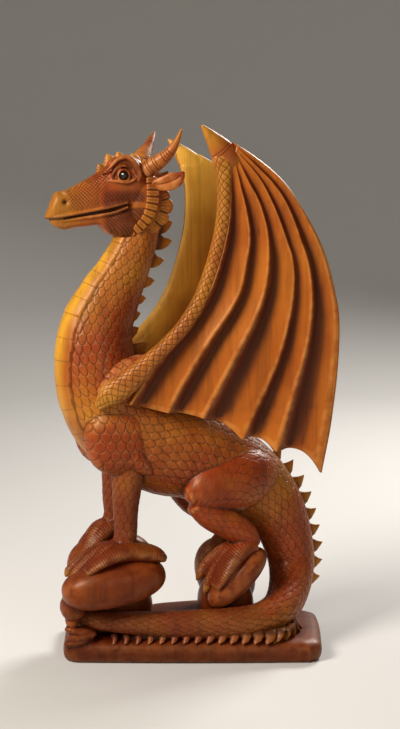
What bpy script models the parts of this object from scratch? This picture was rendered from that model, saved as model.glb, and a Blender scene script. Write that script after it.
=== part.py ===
# Wooden dragon carving: a seated winged dragon on two boulders and a slab, all cut from one block of wood,
# with a small glossy bead set in each eye socket.
#
# The forms are laid out in the dragon's own frame in millimetres: forward (to its snout), side (to its left)
# and up. The dragon's length runs at an angle across the slab, so every point is turned onto the slab's
# frame.
import math

import bmesh
import bpy
import numpy as np

# Overall dimensions of the carving, in millimetres
HEIGHT = 502.0
TURN_DEG = 15.0
SLAB_LENGTH = 250.0
SLAB_DEPTH = 122.0
SLAB_HEIGHT = 21.0
SLAB_CORNER = 20.0
SLAB_SHIFT = 3.5
LEG_SPREAD = 24.0
THIGH_SPREAD = 33.0
WING_THICKNESS = 13.0
FLUTE_DEPTH = 8.5
CLAW_TIP = 1.2
FAR_TIP_DROP = 9.0
SCUTE_STEP = 1.4

# Eye beads
BEAD_RADIUS = 4.0
BEAD_GAP = 0.35

# The figure keeps its pose and proportions as shares of its height: its forms are drawn for 502 mm
SCALE = HEIGHT / 502.0

# Middle of the left eye in the drawing, and the share of a flute's width in which it falls from its crest
EYE = (74, 19.5, 456.5)
FLUTE_FALL = 0.42

# Fineness of the carved skin
GRAIN = 0.0014
FACES = 9100

# Wood and bead colours
WOOD = (0.36, 0.135, 0.038)
BEAD = (0.012, 0.009, 0.008)


def spline(keys, count):
    """A smooth run through the rows of keys; every column is carried along."""
    keys = np.asarray(keys, float)
    gaps = np.sqrt(np.linalg.norm(np.diff(keys[:, :3], axis=0), axis=1)) + 1e-6
    at = np.concatenate(([0.0], np.cumsum(gaps)))
    slope = np.gradient(keys, at, axis=0)
    t = np.linspace(0.0, at[-1], count)
    k = np.clip(np.searchsorted(at, t, side="right") - 1, 0, len(at) - 2)
    h = (at[k + 1] - at[k])[:, None]
    x = (t - at[k])[:, None] / h
    out = (2 * x**3 - 3 * x**2 + 1) * keys[k] + (x**3 - 2 * x**2 + x) * h * slope[k]
    return out + (3 * x**2 - 2 * x**3) * keys[k + 1] + (x**3 - x**2) * h * slope[k + 1]


def drawn(length):
    """A named length, as long as it is in the drawing of the figure."""
    return length / SCALE


def unit(v):
    return v / np.maximum(np.linalg.norm(v, axis=-1, keepdims=True), 1e-9)


def ring_faces(rows, around):
    """Faces of a closed run of rings with a pole at each end."""
    faces = []
    for i in range(rows - 1):
        for j in range(around):
            k = (j + 1) % around
            faces.append((i * around + j, i * around + k, (i + 1) * around + k, (i + 1) * around + j))
    first, last = rows * around, rows * around + 1
    for j in range(around):
        k = (j + 1) % around
        faces.append((first, k, j))
        faces.append((last, (rows - 1) * around + j, (rows - 1) * around + k))
    return faces


def tube(keys, count=40, around=28, square=2.0, shape=None, under=None, upright=False):
    """Sweeps an oval along the keys: forward, side, up, half height, half width (to the side).

    `square` fills out the oval's corners, and `under` those of its lower half. An `upright` sweep keeps its rings
    square to the forward direction.
    """
    rows = spline(keys, count)
    centre = rows[:, :3]
    high = np.maximum(rows[:, 3], 0.3)
    wide = np.maximum(rows[:, 4], 0.3)
    along = unit(np.gradient(centre, axis=0))
    if upright:
        along = np.tile(np.sign(along[0, 0]) * np.array((1.0, 0.0, 0.0)), (count, 1))
    ref = np.array((0.0, 1.0, 0.0))
    side = unit(ref - (along @ ref)[:, None] * along)
    normal = np.cross(side, along)
    turn = np.linspace(0, 2 * math.pi, around, endpoint=False)
    power = np.where(np.cos(turn) < 0, under or square, square)
    c = np.sign(np.cos(turn)) * np.abs(np.cos(turn)) ** (2 / power)
    s = np.sign(np.sin(turn)) * np.abs(np.sin(turn)) ** (2 / power)
    grow = np.zeros((count, around))
    if shape is not None:
        grow = shape(np.linspace(0, 1, count)[:, None], turn[None, :], rows)
    a = high[:, None] * c[None, :]
    b = wide[:, None] * s[None, :]
    size = np.sqrt(a**2 + b**2)
    scale = 1 + grow / np.maximum(size, 1.0)
    points = centre[:, None] + (a * scale)[..., None] * normal[:, None] + (b * scale)[..., None] * side[:,
                                                                                                        None]
    ends = np.array([centre[0] - along[0] * high[0] * 0.4, centre[-1] + along[-1] * high[-1] * 0.4])
    return np.vstack((points.reshape(-1, 3), ends)) * SCALE, ring_faces(count, around)


def lump(centre, radii, tilt=0.0, rings=18, around=28, power=2.0):
    """An oval stone or muscle; tilt turns it in the upright plane, nose up."""
    a = np.linspace(0, math.pi, rings + 2)[1:-1]
    b = np.linspace(0, 2 * math.pi, around, endpoint=False)
    x = np.outer(np.sin(a), np.cos(b))
    y = np.outer(np.sin(a), np.sin(b))
    z = np.outer(np.cos(a), np.ones(around))
    p = np.stack((x, y, z), -1)
    p = np.sign(p) * np.abs(p) ** (2 / power)
    p = np.vstack((p.reshape(-1, 3), [(0, 0, 1), (0, 0, -1)])) * np.asarray(radii, float)
    t = math.radians(tilt)
    f = p[:, 0] * math.cos(t) - p[:, 2] * math.sin(t)
    u = p[:, 0] * math.sin(t) + p[:, 2] * math.cos(t)
    return (np.column_stack((f, p[:, 1], u)) + np.asarray(centre, float)) * SCALE, ring_faces(rings, around)


def fin(root, along, out, length, height, thick, hook):
    """A shark-fin plate standing on its root; its tip leans along the row by `hook` of its length."""
    root = np.asarray(root, float)
    along = unit(np.asarray(along, float))
    out = np.asarray(out, float)
    out = unit(out - (out @ along) * along)
    across = np.cross(along, out)
    outline = ((-0.5, -0.5), (-0.52, 0.0), (-0.34, 0.45), (-0.04, 0.82), (hook, 1.0), (hook + 0.04, 0.55),
               (0.48, 0.05), (0.5, -0.5))
    ring = np.array([root + along * a * length + out * h * height for a, h in outline])
    edge = np.array([0.5 if h < 0.1 else 0.22 for _, h in outline])[:, None] * thick
    middle = root + along * 0.05 * length + out * 0.25 * height
    n = len(outline)
    verts = np.vstack((ring + across * edge, ring - across * edge, [middle + across * thick * 0.62],
                       [middle - across * thick * 0.62]))
    faces = []
    for k in range(n):
        j = (k + 1) % n
        faces += [(2 * n, k, j), (2 * n + 1, n + j, n + k), (k, n + k, n + j, j)]
    return verts * SCALE, faces


def cone(points, radii, count=18, around=16):
    """A round tapering form through the points, such as a horn, a toe or a claw."""
    rows = [tuple(p) + (r, r) for p, r in zip(points, radii)]
    return tube(rows, count, around)


def mirror(part):
    verts, faces = part
    return verts * (1, -1, 1), [tuple(reversed(f)) for f in faces]


def both(part):
    return [part, mirror(part)]


def from_slab(x, y):
    """Forward and side of a point given on the slab's own axes."""
    t = math.radians(TURN_DEG)
    return -x * math.cos(t) - y * math.sin(t), x * math.sin(t) - y * math.cos(t)


def trunk():
    """Neck, body and tail in one sweep, the tail laid along the front of the slab."""
    tail = []
    for x, y, z, r in ((91, 5, 55, 20.0), (80, -20, 42, 17.5), (60, -37, 36.5, 15.5), (34, -44, 35, 14.5),
                       (0, -46, 34.5, 13.5),
                       (-35, -48, 35.5, 12.0), (-70, -49, 37, 10.0), (-98, -46, 39, 8.6),
                       (-115, -34, 40, 7.4), (-123, -10, 41, 5.8),
                       (-122, 8, 41, 3.0)):
        f, s = from_slab(x, y)
        tail.append((f, s, z, r, r))
    keys = [(50, 0, 436, 15, 15), (52, 0, 420, 17, 16), (55, 0, 406, 18.5, 17), (60, 0, 391, 20.5, 18),
            (70, 0, 369, 23.5, 20),
            (84.5, 0, 342, 29, 23), (96, 0, 315, 34, 27), (98.5, 0, 291, 37, 31), (94.5, 0, 265, 41, 36),
            (82, 0, 238, 45, 41),
            (59, 0, 217, 49, 44), (30, 0, 203, 51, 45), (0, 0, 192, 47, 43), (-28, 0, 176, 43, 39),
            (-57, 0, 158, 36, 33),
            (-79, 0, 133, 30, 28), (-92, 0, 104, 25.5, 24), (-97, 2, 78, 23, 22)] + tail

    def plates(u, turn, rows):
        front = np.clip(1.0 - np.abs(np.angle(np.exp(1j * (turn - math.pi)))) / 0.85, 0, 1) ** 0.25
        run = np.concatenate(([0.0], np.cumsum(np.linalg.norm(np.diff(rows[:, :3], axis=0), axis=1))))[:,
                                                                                                       None]
        step = (run / 26.0) % 1.0
        reach = np.clip((run - 28.0) / 8.0, 0, 1) * np.clip((215.0 - run) / 10.0, 0, 1)
        return front * reach * (drawn(SCUTE_STEP) * (0.35 + step))

    return tube(keys, 260, 56, shape=plates)


def crest():
    """Row of fins down the nape and the back, then over the rump and along the tail."""
    parts = []
    nape = [((34, 441), (27, 442)), ((34, 425), (24, 421)), ((34, 409), (24, 405)), ((36, 394), (25, 390)),
            ((43, 377), (33, 373)),
            ((52, 358), (42, 355)), ((60, 341), (50, 339)), ((65, 325), (56, 324)), ((67, 309), (58, 309)),
            ((65, 292), (50, 298))]
    for k, ((f, u), (g, v)) in enumerate(nape):
        lean = (f - nape[min(k + 1, 9)][0][0] + nape[max(k - 1, 0)][0][0] - f,
                nape[max(k - 1, 0)][0][1] - nape[min(k + 1, 9)][0][1])
        parts.append(fin((f, 0, u), (lean[0], 0, lean[1]), (g - f, 0, v - u), 14.5,
                         math.hypot(g - f, v - u), 4.2, 0.3))
    back = spline([(48, 0, 252), (20, 0, 249), (-5, 0, 234), (-30, 0, 215), (-64, 0, 193)], 10)
    for k in range(1, 9):
        step = back[k - 1] - back[k + 1]
        parts.append(fin(back[k], step, (-step[2] * 0.3 - 2, 0, 10), 13.0, 7.5, 4.0, 0.1))
    rump = [(-79, 181), (-91, 169), (-101, 155), (-108, 140), (-113, 124), (-117, 108), (-120, 92),
            (-120, 76), (-118, 60)]
    for k, (f, u) in enumerate(rump):
        f0, u0 = rump[max(k - 1, 0)]
        f1, u1 = rump[min(k + 1, len(rump) - 1)]
        parts.append(fin((f + 2, 1, u), (f0 - f1, 0, u0 - u1), (u1 - u0, 0, f0 - f1), 14.5, 14.0 - 0.4 * k,
                         4.6, 0.12))
    for k in range(19):
        turn = math.radians(min(18 * k, 90))
        x = 96 - 26 * (1 - math.cos(turn)) if k < 5 else 70 - 11.3 * (k - 5)
        y = -14 - 40 * math.sin(turn) if k < 5 else -55 + 0.12 * (k - 5)
        size = 13.0 - 0.42 * k
        f, s = from_slab(x, y)
        g, t = from_slab(x + 4 * math.cos(turn) + 2, y - 6 * math.sin(turn) - 2)
        h, w = from_slab(x + 5 * math.sin(turn), y - 5 * math.cos(turn))
        away = (g - f, t - s, -5.5) if k < 5 else from_slab(-5.5, -5) + (-6,)
        parts.append(fin((f, s, 28 - 0.25 * k), (f - h, s - w, -1.5), away, size * 1.15,
                         max(size * 0.85, 7.5), 4.6, 0.25))
    return parts


# Ridges on each side of the head: brow arch, upper lid, lower lid, nostril rim, upper lip and lower lip
HEAD_RIDGES = (
    (((87.6, 15.0, 452.5), (86.3, 16.2, 460.0), (82.5, 17.0, 466.8), (77.5, 17.4, 471.0),
      (71.4, 17.8, 472.6), (64.8, 18.4, 471.3),
      (60.0, 19.4, 467.0), (57.6, 20.4, 461), (58.5, 21, 454.5)),
      (1.2, 2.2, 2.6, 2.8, 2.9, 3.0, 3.0, 2.8, 1.6)),
    (((86.5, 16.5, 452.6), (81.5, 19.4, 459.5), (75, 20.4, 462.9), (68.5, 20.4, 460.6),
      (64.2, 20.2, 455.2)), (0.8, 1.3, 1.4, 1.3, 0.8)),
    (((88.5, 15.5, 451.3), (81.3, 19.0, 449.8), (72.9, 20.4, 450.0), (65.3, 20.8, 452.2),
      (60.6, 20.6, 455.2)), (1.0, 1.6, 1.7, 1.4, 0.8)),
    (((130.5, 7.0, 440.5), (126.5, 9.0, 440), (123, 10.6, 436.5), (122.2, 11.2, 431.5)),
     (1.2, 2.2, 2.4, 1.0)),
    (((142.5, 3.5, 418.3), (138, 8.5, 418.2), (132.2, 11.3, 418.7), (122.9, 12.4, 420.9),
      (108.9, 12.8, 423.4), (94.8, 14.4, 426.3),
      (80.7, 17.2, 429.6), (69.5, 18.6, 431.8)), (1.2, 1.7, 1.9, 1.9, 1.9, 2.0, 2.0, 1.0)),
    (((139.2, 4.0, 414.6), (132.3, 9.0, 414.8), (123.0, 10.4, 415.9), (109.0, 11.4, 417.9),
      (94.9, 13.2, 419.8), (80.8, 16.4, 422.6),
      (69.5, 18.3, 427.6)), (1.2, 1.5, 1.6, 1.6, 1.6, 1.6, 1.0)),
)


def head():
    """Skull, snout and jaw with the parted mouth, the brow arches, lids, nostrils, lips and midline knobs."""
    parts = []
    upper = [(143.6, 418.6, 2.0, 5.0), (141.2, 421.1, 4.8, 8.0), (138.4, 424.7, 8.4, 10.5),
             (134.7, 428.8, 12.1, 12.0),
             (130.0, 429.9, 12.3, 12.8), (124.3, 431.2, 12.4, 13.0), (111.2, 435.7, 14.3, 12.8),
             (97.1, 441.0, 16.8, 14.5),
             (87.6, 444.6, 18.7, 16.5), (78.9, 447.8, 20.1, 18.5), (68.5, 449.0, 20.6, 19.5),
             (59, 448.0, 20.8, 20.0),
             (49.4, 446.0, 18, 17), (38, 442, 11, 11)]
    parts.append(tube([(f, 0, z, h, w) for f, z, h, w in upper], 70, 40, square=2.7, under=4.5,
                      upright=True))
    jaw = [(139.5, 413.8, 0.9, 4), (135.8, 412.8, 2.6, 7.5), (132.1, 411.8, 4.0, 9.5),
           (126.5, 411.3, 5.0, 10.5),
           (119.0, 412.5, 4.7, 11), (106.7, 413.9, 5.0, 11.5), (94.4, 415.2, 5.5, 13),
           (88.8, 413.8, 7.8, 14.5), (83.0, 412.0, 10.7, 16),
           (75.4, 412.1, 12.8, 17.5), (68.7, 413.4, 14.2, 17.5), (59.2, 415.5, 15.3, 15.5)]
    parts.append(tube([(f, 0, z, h, w) for f, z, h, w in jaw], 60, 36, square=4.0, under=2.3))
    parts.append(tube([(138, 0, 416, 3, 3), (128, 0, 417, 4, 7), (110, 0, 419.5, 4.5, 7.5),
                       (92, 0, 423.5, 5, 9), (74, 0, 428, 6, 12),
                       (60, 0, 430, 6, 12)], 24, 20))
    for side in (1, -1):
        parts.append(lump((68, 8.5 * side, 410), (18, 11, 12.5), 8))
        parts.append(lump((50, 9 * side, 431), (18, 14, 25)))
        parts.append(lump((71, 8.5 * side, 466), (17, 9.5, 8.5)))
        parts.append(lump((EYE[0], (EYE[1] - 4.6) * side, EYE[2]), (7.4, 6.6, 6.6)))
        for path, radii in HEAD_RIDGES:
            parts.append(cone([(f, s * side, z) for f, s, z in path], radii, 34, 12))
    for f, tip, r in ((92.1, 467.9, 6.0), (84.3, 476.8, 6.2), (74.3, 478.9, 5.6), (60.7, 477.6, 6.2),
                      (50, 472, 5.5)):
        parts.append(tube([(f, 0, tip - 16, r, r * 0.8), (f, 0, tip - 7, r * 0.95, r * 0.7),
                           (f, 0, tip - 3, r * 0.7, r * 0.5),
                           (f - 0.5, 0, tip - 0.5, r * 0.2, r * 0.2)], 14, 16))
    return parts


def ornaments():
    """Horns, ears and the two rows of gill-like frill behind each cheek."""
    parts = []
    near = [(51, 12, 460.5), (46, 16, 465), (40, 21, 470), (34, 26, 475.5), (29.5, 30, 482),
            (26.5, 33.5, 489), (23.5, 37, 498.3)]
    far = [(54, -9, 463), (50, -12, 470.5), (46.5, -16, 476.5), (41.5, -21, 483), (36.5, -27, 491),
           (32.5, -32, 497.2)]
    parts.append(cone(near, (8.4, 8.0, 6.9, 5.6, 4.1, 2.7, drawn(CLAW_TIP)), 34, 18))
    parts.append(cone(far, (9.0, 9.0, 7.4, 5.2, 3.0, drawn(CLAW_TIP)), 30, 18))
    ear = [(46, 20, 448, 4.5, 3.5), (39.5, 25, 448.7, 6.2, 4.0), (32.3, 28, 450.0, 7.6, 4.0),
           (26, 29.5, 452.6, 7.0, 3.4),
           (21.5, 30.5, 455.0, 4.0, 2.0)]
    parts += both(tube(ear, 24, 24, shape=lambda u, turn, rows: (
        -5.4 * np.clip(np.sin(turn), 0, 1) ** 1.5 * np.sin(math.pi * np.clip(u * 1.15, 0, 1)))))
    front = [(47.9, 19, 455, 5.0, 2.0), (47.4, 22, 443.1, 5.6, 2.2), (48.4, 23.5, 430.3, 5.6, 2.2),
             (51.8, 23, 419.3, 5.2, 2.2),
             (58.5, 20, 410.2, 4.4, 2.0), (67, 14.5, 403.3, 3.0, 1.8), (73.6, 9, 400.2, 0.9, 0.9)]
    rear = [(40, 15, 444, 4.0, 2.0), (35, 17, 433.8, 6.8, 2.4), (35.6, 18, 424.6, 6.8, 2.4),
            (39.4, 18, 416.3, 6.2, 2.4),
            (46.1, 15.5, 408.1, 5.0, 2.0), (53.8, 10, 400.7, 2.0, 1.4)]
    for rim, lobes, deep in ((front, 10, 1.2), (rear, 5, 2.2)):
        parts += both(tube(rim, 60, 18, square=3.0, shape=lambda u, turn, rows: (
            deep * (np.abs(np.sin(u * math.pi * lobes)) ** 0.6 - 0.6) * (np.cos(turn) > 0.4))))
    return parts


# Lines of the wing, from the wrist down, as forward and up: the arm's inner edge, four crests and the outer
# edge
WING_LINES = (
    ((-14, 474), (-15, 452), (-15, 430), (-12, 405), (-6, 380), (4, 352), (22, 320), (42, 298), (60, 274),
     (76, 248)),
    ((-18, 474), (-24, 448), (-31, 418), (-33, 398), (-30, 378), (-24, 350), (-13, 330), (1, 310),
     (14, 289), (28, 265), (41, 239)),
    ((-19, 477), (-31, 452), (-40, 436), (-46, 420), (-50, 402), (-51, 379), (-48, 353), (-38, 323),
     (-25, 298), (-10, 268), (8, 233)),
    ((-20, 479), (-42, 454), (-52, 436), (-61, 416), (-68, 397), (-74, 379), (-75, 349), (-68, 308),
     (-59, 279), (-45, 246), (-29, 212)),
    ((-21, 482), (-40, 464), (-55, 449), (-67, 432), (-76, 412), (-83, 393), (-88, 379), (-93, 346),
     (-90, 304), (-81, 267), (-62, 199)),
    ((-18, 486), (-35, 476), (-52, 464), (-68, 449), (-83, 428), (-103, 392), (-115, 355), (-121, 326),
     (-121, 275), (-116, 225), (-107, 177)),
)
SCALLOPS = (0.0, 0.006, 0.018, 0.022, 0.034)


def wing_sheet(f, u):
    """Side of the wing's smooth face at a forward and up: close to the flank below, spread at the tip."""
    spread = np.clip((u - 240) / 240, 0, 1)
    back = np.clip((60 - f) / 170, 0, 1)
    return 50 + 12 * spread + 13 * back * (1 - 0.55 * spread) + 5 * np.sin(math.pi * spread) * (1 - back * 0.4)


def wing(steps=12, rows=70):
    """One wing: fluted outer face, smooth inner face, scalloped lower edge, scaled arm and claw tip."""
    lines = []
    for line in WING_LINES:
        fine = spline([(f, 0, u) for f, u in line], 400)
        run = np.concatenate(([0.0], np.cumsum(np.linalg.norm(np.diff(fine, axis=0), axis=1))))
        lines.append((run / run[-1], fine))
    v = np.linspace(0, 1, rows)
    columns = []
    hollow = []
    for i in range(len(lines) - 1):
        last = steps if i < len(lines) - 2 else steps + 1
        for j in range(last):
            a = j / steps
            t = v * (1 - SCALLOPS[i] * 4 * a * (1 - a))
            pair = []
            for at, fine in (lines[i], lines[i + 1]):
                pair.append(np.column_stack([np.interp(t, at, fine[:, c]) for c in (0, 2)]))
            gap = np.linalg.norm(pair[0] - pair[1], axis=1)
            columns.append(pair[0] * (1 - a) + pair[1] * a)
            fall = min(a / FLUTE_FALL, 1.0)
            fall = fall * fall * (3 - 2 * fall)
            curve = fall * (1 - a) ** 0.85 / 0.66
            hollow.append(curve * np.minimum(drawn(FLUTE_DEPTH), 0.3 * gap) * np.clip(v / 0.08, 0, 1))
    grid = np.stack(columns, 1)
    deep = np.stack(hollow, 1)
    f, u = grid[..., 0], grid[..., 1]
    sheet = wing_sheet(f, u)
    thick = drawn(WING_THICKNESS) * (1 - 0.28 * np.linspace(0, 1, grid.shape[1])[None, :])
    deep = np.minimum(deep, thick * 0.72)
    outer = np.stack((f, sheet - deep, u), -1)
    inner = np.stack((f, sheet - thick, u), -1)
    wide = grid.shape[1]
    n = rows * wide
    faces = []
    for i in range(rows - 1):
        for j in range(wide - 1):
            a, b, c, d = i * wide + j, i * wide + j + 1, (i + 1) * wide + j + 1, (i + 1) * wide + j
            faces.append((a, b, c, d))
            faces.append((n + a, n + d, n + c, n + b))
    rim = [i * wide for i in range(rows)] + [(rows - 1) * wide + j for j in range(1, wide)]
    rim += [i * wide + wide - 1 for i in range(rows - 2, -1, -1)] + [j for j in range(wide - 2, 0, -1)]
    for a, b in zip(rim, rim[1:] + rim[:1]):
        faces.append((a, n + a, n + b, b)[::-1])
    parts = [(np.vstack((outer.reshape(-1, 3), inner.reshape(-1, 3))) * SCALE,
              [tuple(reversed(q)) for q in faces])]
    arm = [(104, 41, 246, 4, 5), (94, 44, 257, 10.5, 9.5), (79, 48, 268, 11, 9.5), (64, 51, 282, 8.6, 9),
           (45, 53, 300, 6.4, 8.4),
           (27, 54.6, 319, 6.4, 8), (12.5, 55.8, 342, 6.2, 7.6), (3, 56.7, 365, 6.2, 7.5),
           (-4, 57.5, 388, 6.2, 7.5),
           (-9, 58.3, 411, 6.2, 7.5), (-11, 58.6, 434, 6.4, 7.5), (-10.5, 58.8, 455, 7, 7.5),
           (-9, 58.5, 474, 10, 7.5)]
    parts.append(tube(arm, 80, 20, square=2.6))
    claw = [(-30, 59, 459, 8, 6), (-20, 59.5, 468, 11.5, 6.5), (-9, 59.5, 478, 11.5, 7),
            (-4, 60, 484, 9.5, 6.5), (4, 62, 493, 5.2, 4.5),
            (11.5, 64, 501, 1.2, 1.2)]
    parts.append(tube(claw, 26, 18))
    root = [(98, 33, 252, 10, 10), (84, 31, 262, 17, 13), (62, 27, 270, 21, 13), (36, 26, 264, 20, 12),
            (8, 28, 251, 15, 10),
            (-16, 32, 240, 7, 6)]
    parts.append(tube(root, 30, 24))
    return parts


def foot(ankle, spread, toes, side, claw):
    """A broad foot: a flat mass from the ankle, long toes lying on it and their claws."""
    f, s, z = ankle
    parts = [tube([(a, (s + b) * side, c, h, w) for a, b, c, h, w in spread], 26, 26)]
    for tf, ts, tz, r in toes:
        path = [(f, s, z), (f + (tf - f) * 0.35, s + (ts - s) * 0.5, z - (z - tz) * 0.1),
                (f + (tf - f) * 0.78, ts, z - (z - tz) * 0.62), (tf, ts, tz)]
        parts.append(cone([(a, b * side, c) for a, b, c in path], (r + 1.5, r + 1.2, r, r - 2.0), 24, 16))
        nail = [(tf - claw[0] * 0.4, ts * side, tz - claw[1] * 0.4),
                (tf + claw[0] * 0.5, ts * side, tz + claw[1] * 0.5),
                (tf + claw[0], ts * side, tz + claw[1])]
        parts.append(cone(nail, (r - 1.6, r - 3.2, drawn(CLAW_TIP)), 10, 12))
    return parts


def legs():
    """Forelegs planted on the boulders, hind legs folded, every foot with long toes and claws."""
    parts = []
    for side in (1, -1):
        up = 0 if side > 0 else 14
        s = drawn(LEG_SPREAD) * side
        parts.append(lump((81, 26 * side, 213), (33, 20, 34), -10, 20, 30, 2.3))
        parts.append(cone([(68, 32 * side, 196), (58, 34 * side, 186), (50, 34 * side, 178)],
                          (13, 8, drawn(CLAW_TIP)), 12, 14))
        parts.append(tube([(76, s, 206, 24, 17), (73, s, 188, 17.5, 15), (73.5, s, 168, 14.2, 13),
                           (75, s, 145, 12, 11.5),
                           (75, s, 124 + up / 2, 10.8, 10.8), (77, s, 106 + up, 11.5, 11.5)], 40, 26))
        if side > 0:
            spread = [(39.5, 3, 97, 4, 9), (46, 4, 100.5, 7, 13), (58, 3, 103.4, 8.8, 17),
                      (74, 2, 105.6, 9.6, 18),
                      (90, 3, 103.6, 8.6, 20), (105, 4, 97, 6.6, 20), (116, 4, 89, 4.4, 16)]
            parts += foot((80, 26, 108), spread, ((128, 12, 85, 6.4), (127, 24, 80.5, 6.6),
                                                  (120, 37, 78, 6.6)), 1, (3, -5))
        else:
            spread = [(70, 0, 121, 7, 12), (80, 0, 117.5, 10, 15), (92, 0, 109, 10.5, 19),
                      (102, 0, 98, 10, 20), (108, 0, 87, 8, 18)]
            parts += foot((80, 24, 120), spread, ((113, 12, 80, 6.2), (115, 24, 77, 6.2),
                                                  (111, 36, 76, 6.2)), -1, (1, -6))
        hip = [(17, 36 * side, 156, 9, 9), (6, 35 * side, 160, 19, 15), (-16, 31 * side, 166, 26, 18),
               (-40, 24 * side, 168, 30, 20),
               (-58, 16 * side, 162, 26, 18), (-70, 10 * side, 152, 14, 12)]
        parts.append(tube(hip, 36, 28))
        t = drawn(THIGH_SPREAD) * side
        parts.append(tube([(9, t, 150, 12, 12), (-6, t, 137, 14.5, 13), (-24, t, 126, 14, 12.5),
                           (-40, t, 115, 12, 11),
                           (-46, t, 104, 10, 10)], 30, 22))
        back = 0 if side > 0 else -12
        spread = [(-50 + back, 0, 104, 7, 9), (-38 + back, 1, 103, 10, 13), (-26 + back, 2, 94, 9, 17),
                  (-15 + back, 3, 80, 7, 18),
                  (-8 + back, 3, 68, 4, 15)]
        toes = ((2 + back, 20, 76, 6.0), (-3 + back, 29, 65, 6.2), (-10 + back, 38, 61, 6.2),
                (-18 + back, 48, 66, 5.8))
        parts += foot((-38 + back, 35, 104), spread, toes, side, (3, -6))
    return parts


def ground():
    """Boulders under the feet and the slab, with the carved bulge and leaves at its left end."""
    parts = [lump((88, 30, 76), (50, 25, 21.5), -9, 24, 34, 2.4),
             lump((80, -22, 82), (43, 26, 30), -4, 24, 34, 2.2),
             lump((80, -12, 42), (38, 28, 27), 0, 20, 32, 2.5),
             lump((-31, 37, 75), (37, 19, 14), -44, 22, 32, 2.2),
             lump((-26, 14, 44), (27, 24, 32), -6, 20, 32, 2.3),
             lump((-38, -30, 62), (29, 24, 38), -20, 22, 32, 2.2)]
    f, s = from_slab(-8, 16)
    parts.append(lump((f, s, 16), (46, 44, 15), 0, 18, 44, 4.0))
    f, s = from_slab(-116, -54)
    parts.append(lump((f, s, 54), (12, 15, 13), 0, 18, 24, 2.2))
    for x, z, tilt in ((-112, 31, -9), (-106, 25.5, -3), (-111, 20, 5)):
        f, s = from_slab(x, -54)
        parts.append(lump((f, s, z), (14, 8.5, 3.8), tilt, power=2.4))
    a = np.linspace(0, 2 * math.pi, 96, endpoint=False)
    hx, hy, r = SLAB_LENGTH / 2, SLAB_DEPTH / 2, SLAB_CORNER
    x = np.clip(np.cos(a) * 3, -1, 1) * (hx - r) + r * np.cos(a)
    y = np.clip(np.sin(a) * 3, -1, 1) * (hy - r) + r * np.sin(a)
    wave = (2.0 * np.sin(3 * a + 0.6) + 1.2 * np.sin(7 * a)) * SCALE
    rings = []
    for z, inset in ((0.0, 3.0), (2.5, 0.6), (7.0, 0.0), (15.0, 0.4), (20.0, 2.0), (22.6, 5.5),
                     (23.6, 11.0)):
        scale_x = (hx - inset * SCALE + wave * 0.4 * (z > 0)) / hx
        scale_y = (hy - inset * SCALE + wave * 0.4 * (z > 0)) / hy
        f, s = from_slab(x * scale_x - SLAB_SHIFT, y * scale_y)
        rings.append(np.column_stack((f, s, np.full(len(a), z * SLAB_HEIGHT / 23.6))))
    verts = np.vstack(rings + [[(0, 0, 0), (0, 0, SLAB_HEIGHT)]])
    parts.append((verts, ring_faces(len(rings), len(a))))
    return parts


def build_mesh(name, parts):
    """One mesh from many closed forms, turned onto the slab and set in metres."""
    verts = []
    faces = []
    base = 0
    for points, quads in parts:
        verts.append(points)
        centre = points.mean(axis=0)
        volume = 0.0
        for q in quads:
            p = points[list(q)] - centre
            for k in range(1, len(q) - 1):
                volume += np.dot(p[0], np.cross(p[k], p[k + 1]))
        for q in quads:
            q = tuple(i + base for i in q)
            faces.append(q if volume > 0 else tuple(reversed(q)))
        base += len(points)
    p = np.vstack(verts) / 1000.0
    t = math.radians(TURN_DEG)
    x = -p[:, 0] * math.cos(t) + p[:, 1] * math.sin(t)
    y = -p[:, 0] * math.sin(t) - p[:, 1] * math.cos(t)
    mesh = bpy.data.meshes.new(name)
    mesh.from_pydata(np.column_stack((x, y, p[:, 2])).tolist(), [], faces)
    mesh.update()
    return mesh


def shine(name, colour, rough):
    material = bpy.data.materials.new(name)
    material.use_nodes = True
    shader = material.node_tree.nodes["Principled BSDF"]
    shader.inputs["Base Color"].default_value = (*colour, 1)
    shader.inputs["Roughness"].default_value = rough
    shader.inputs["Metallic"].default_value = 0.0
    material.diffuse_color = (*colour, 1)
    return material


def evaluated(thing, name):
    graph = bpy.context.evaluated_depsgraph_get()
    mesh = bpy.data.meshes.new_from_object(thing.evaluated_get(graph))
    mesh.name = name
    thing.modifiers.clear()
    thing.data = mesh
    return mesh


def keep_largest(mesh):
    """Drops any small closed scrap, so that one body is left."""
    work = bmesh.new()
    work.from_mesh(mesh)
    work.verts.ensure_lookup_table()
    seen = set()
    groups = []
    for start in work.verts:
        if start.index in seen:
            continue
        seen.add(start.index)
        stack = [start]
        group = []
        while stack:
            v = stack.pop()
            group.append(v)
            for e in v.link_edges:
                w = e.other_vert(v)
                if w.index not in seen:
                    seen.add(w.index)
                    stack.append(w)
        groups.append(group)
    groups.sort(key=len)
    for group in groups[:-1]:
        bmesh.ops.delete(work, geom=group, context="VERTS")
    work.to_mesh(mesh)
    work.free()
    print("bodies found", len(groups), "faces kept", len(mesh.polygons))


for old in list(bpy.data.objects):
    bpy.data.objects.remove(old)

wood = shine("wood", WOOD, 0.38)
bead = shine("bead", BEAD, 0.06)

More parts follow.
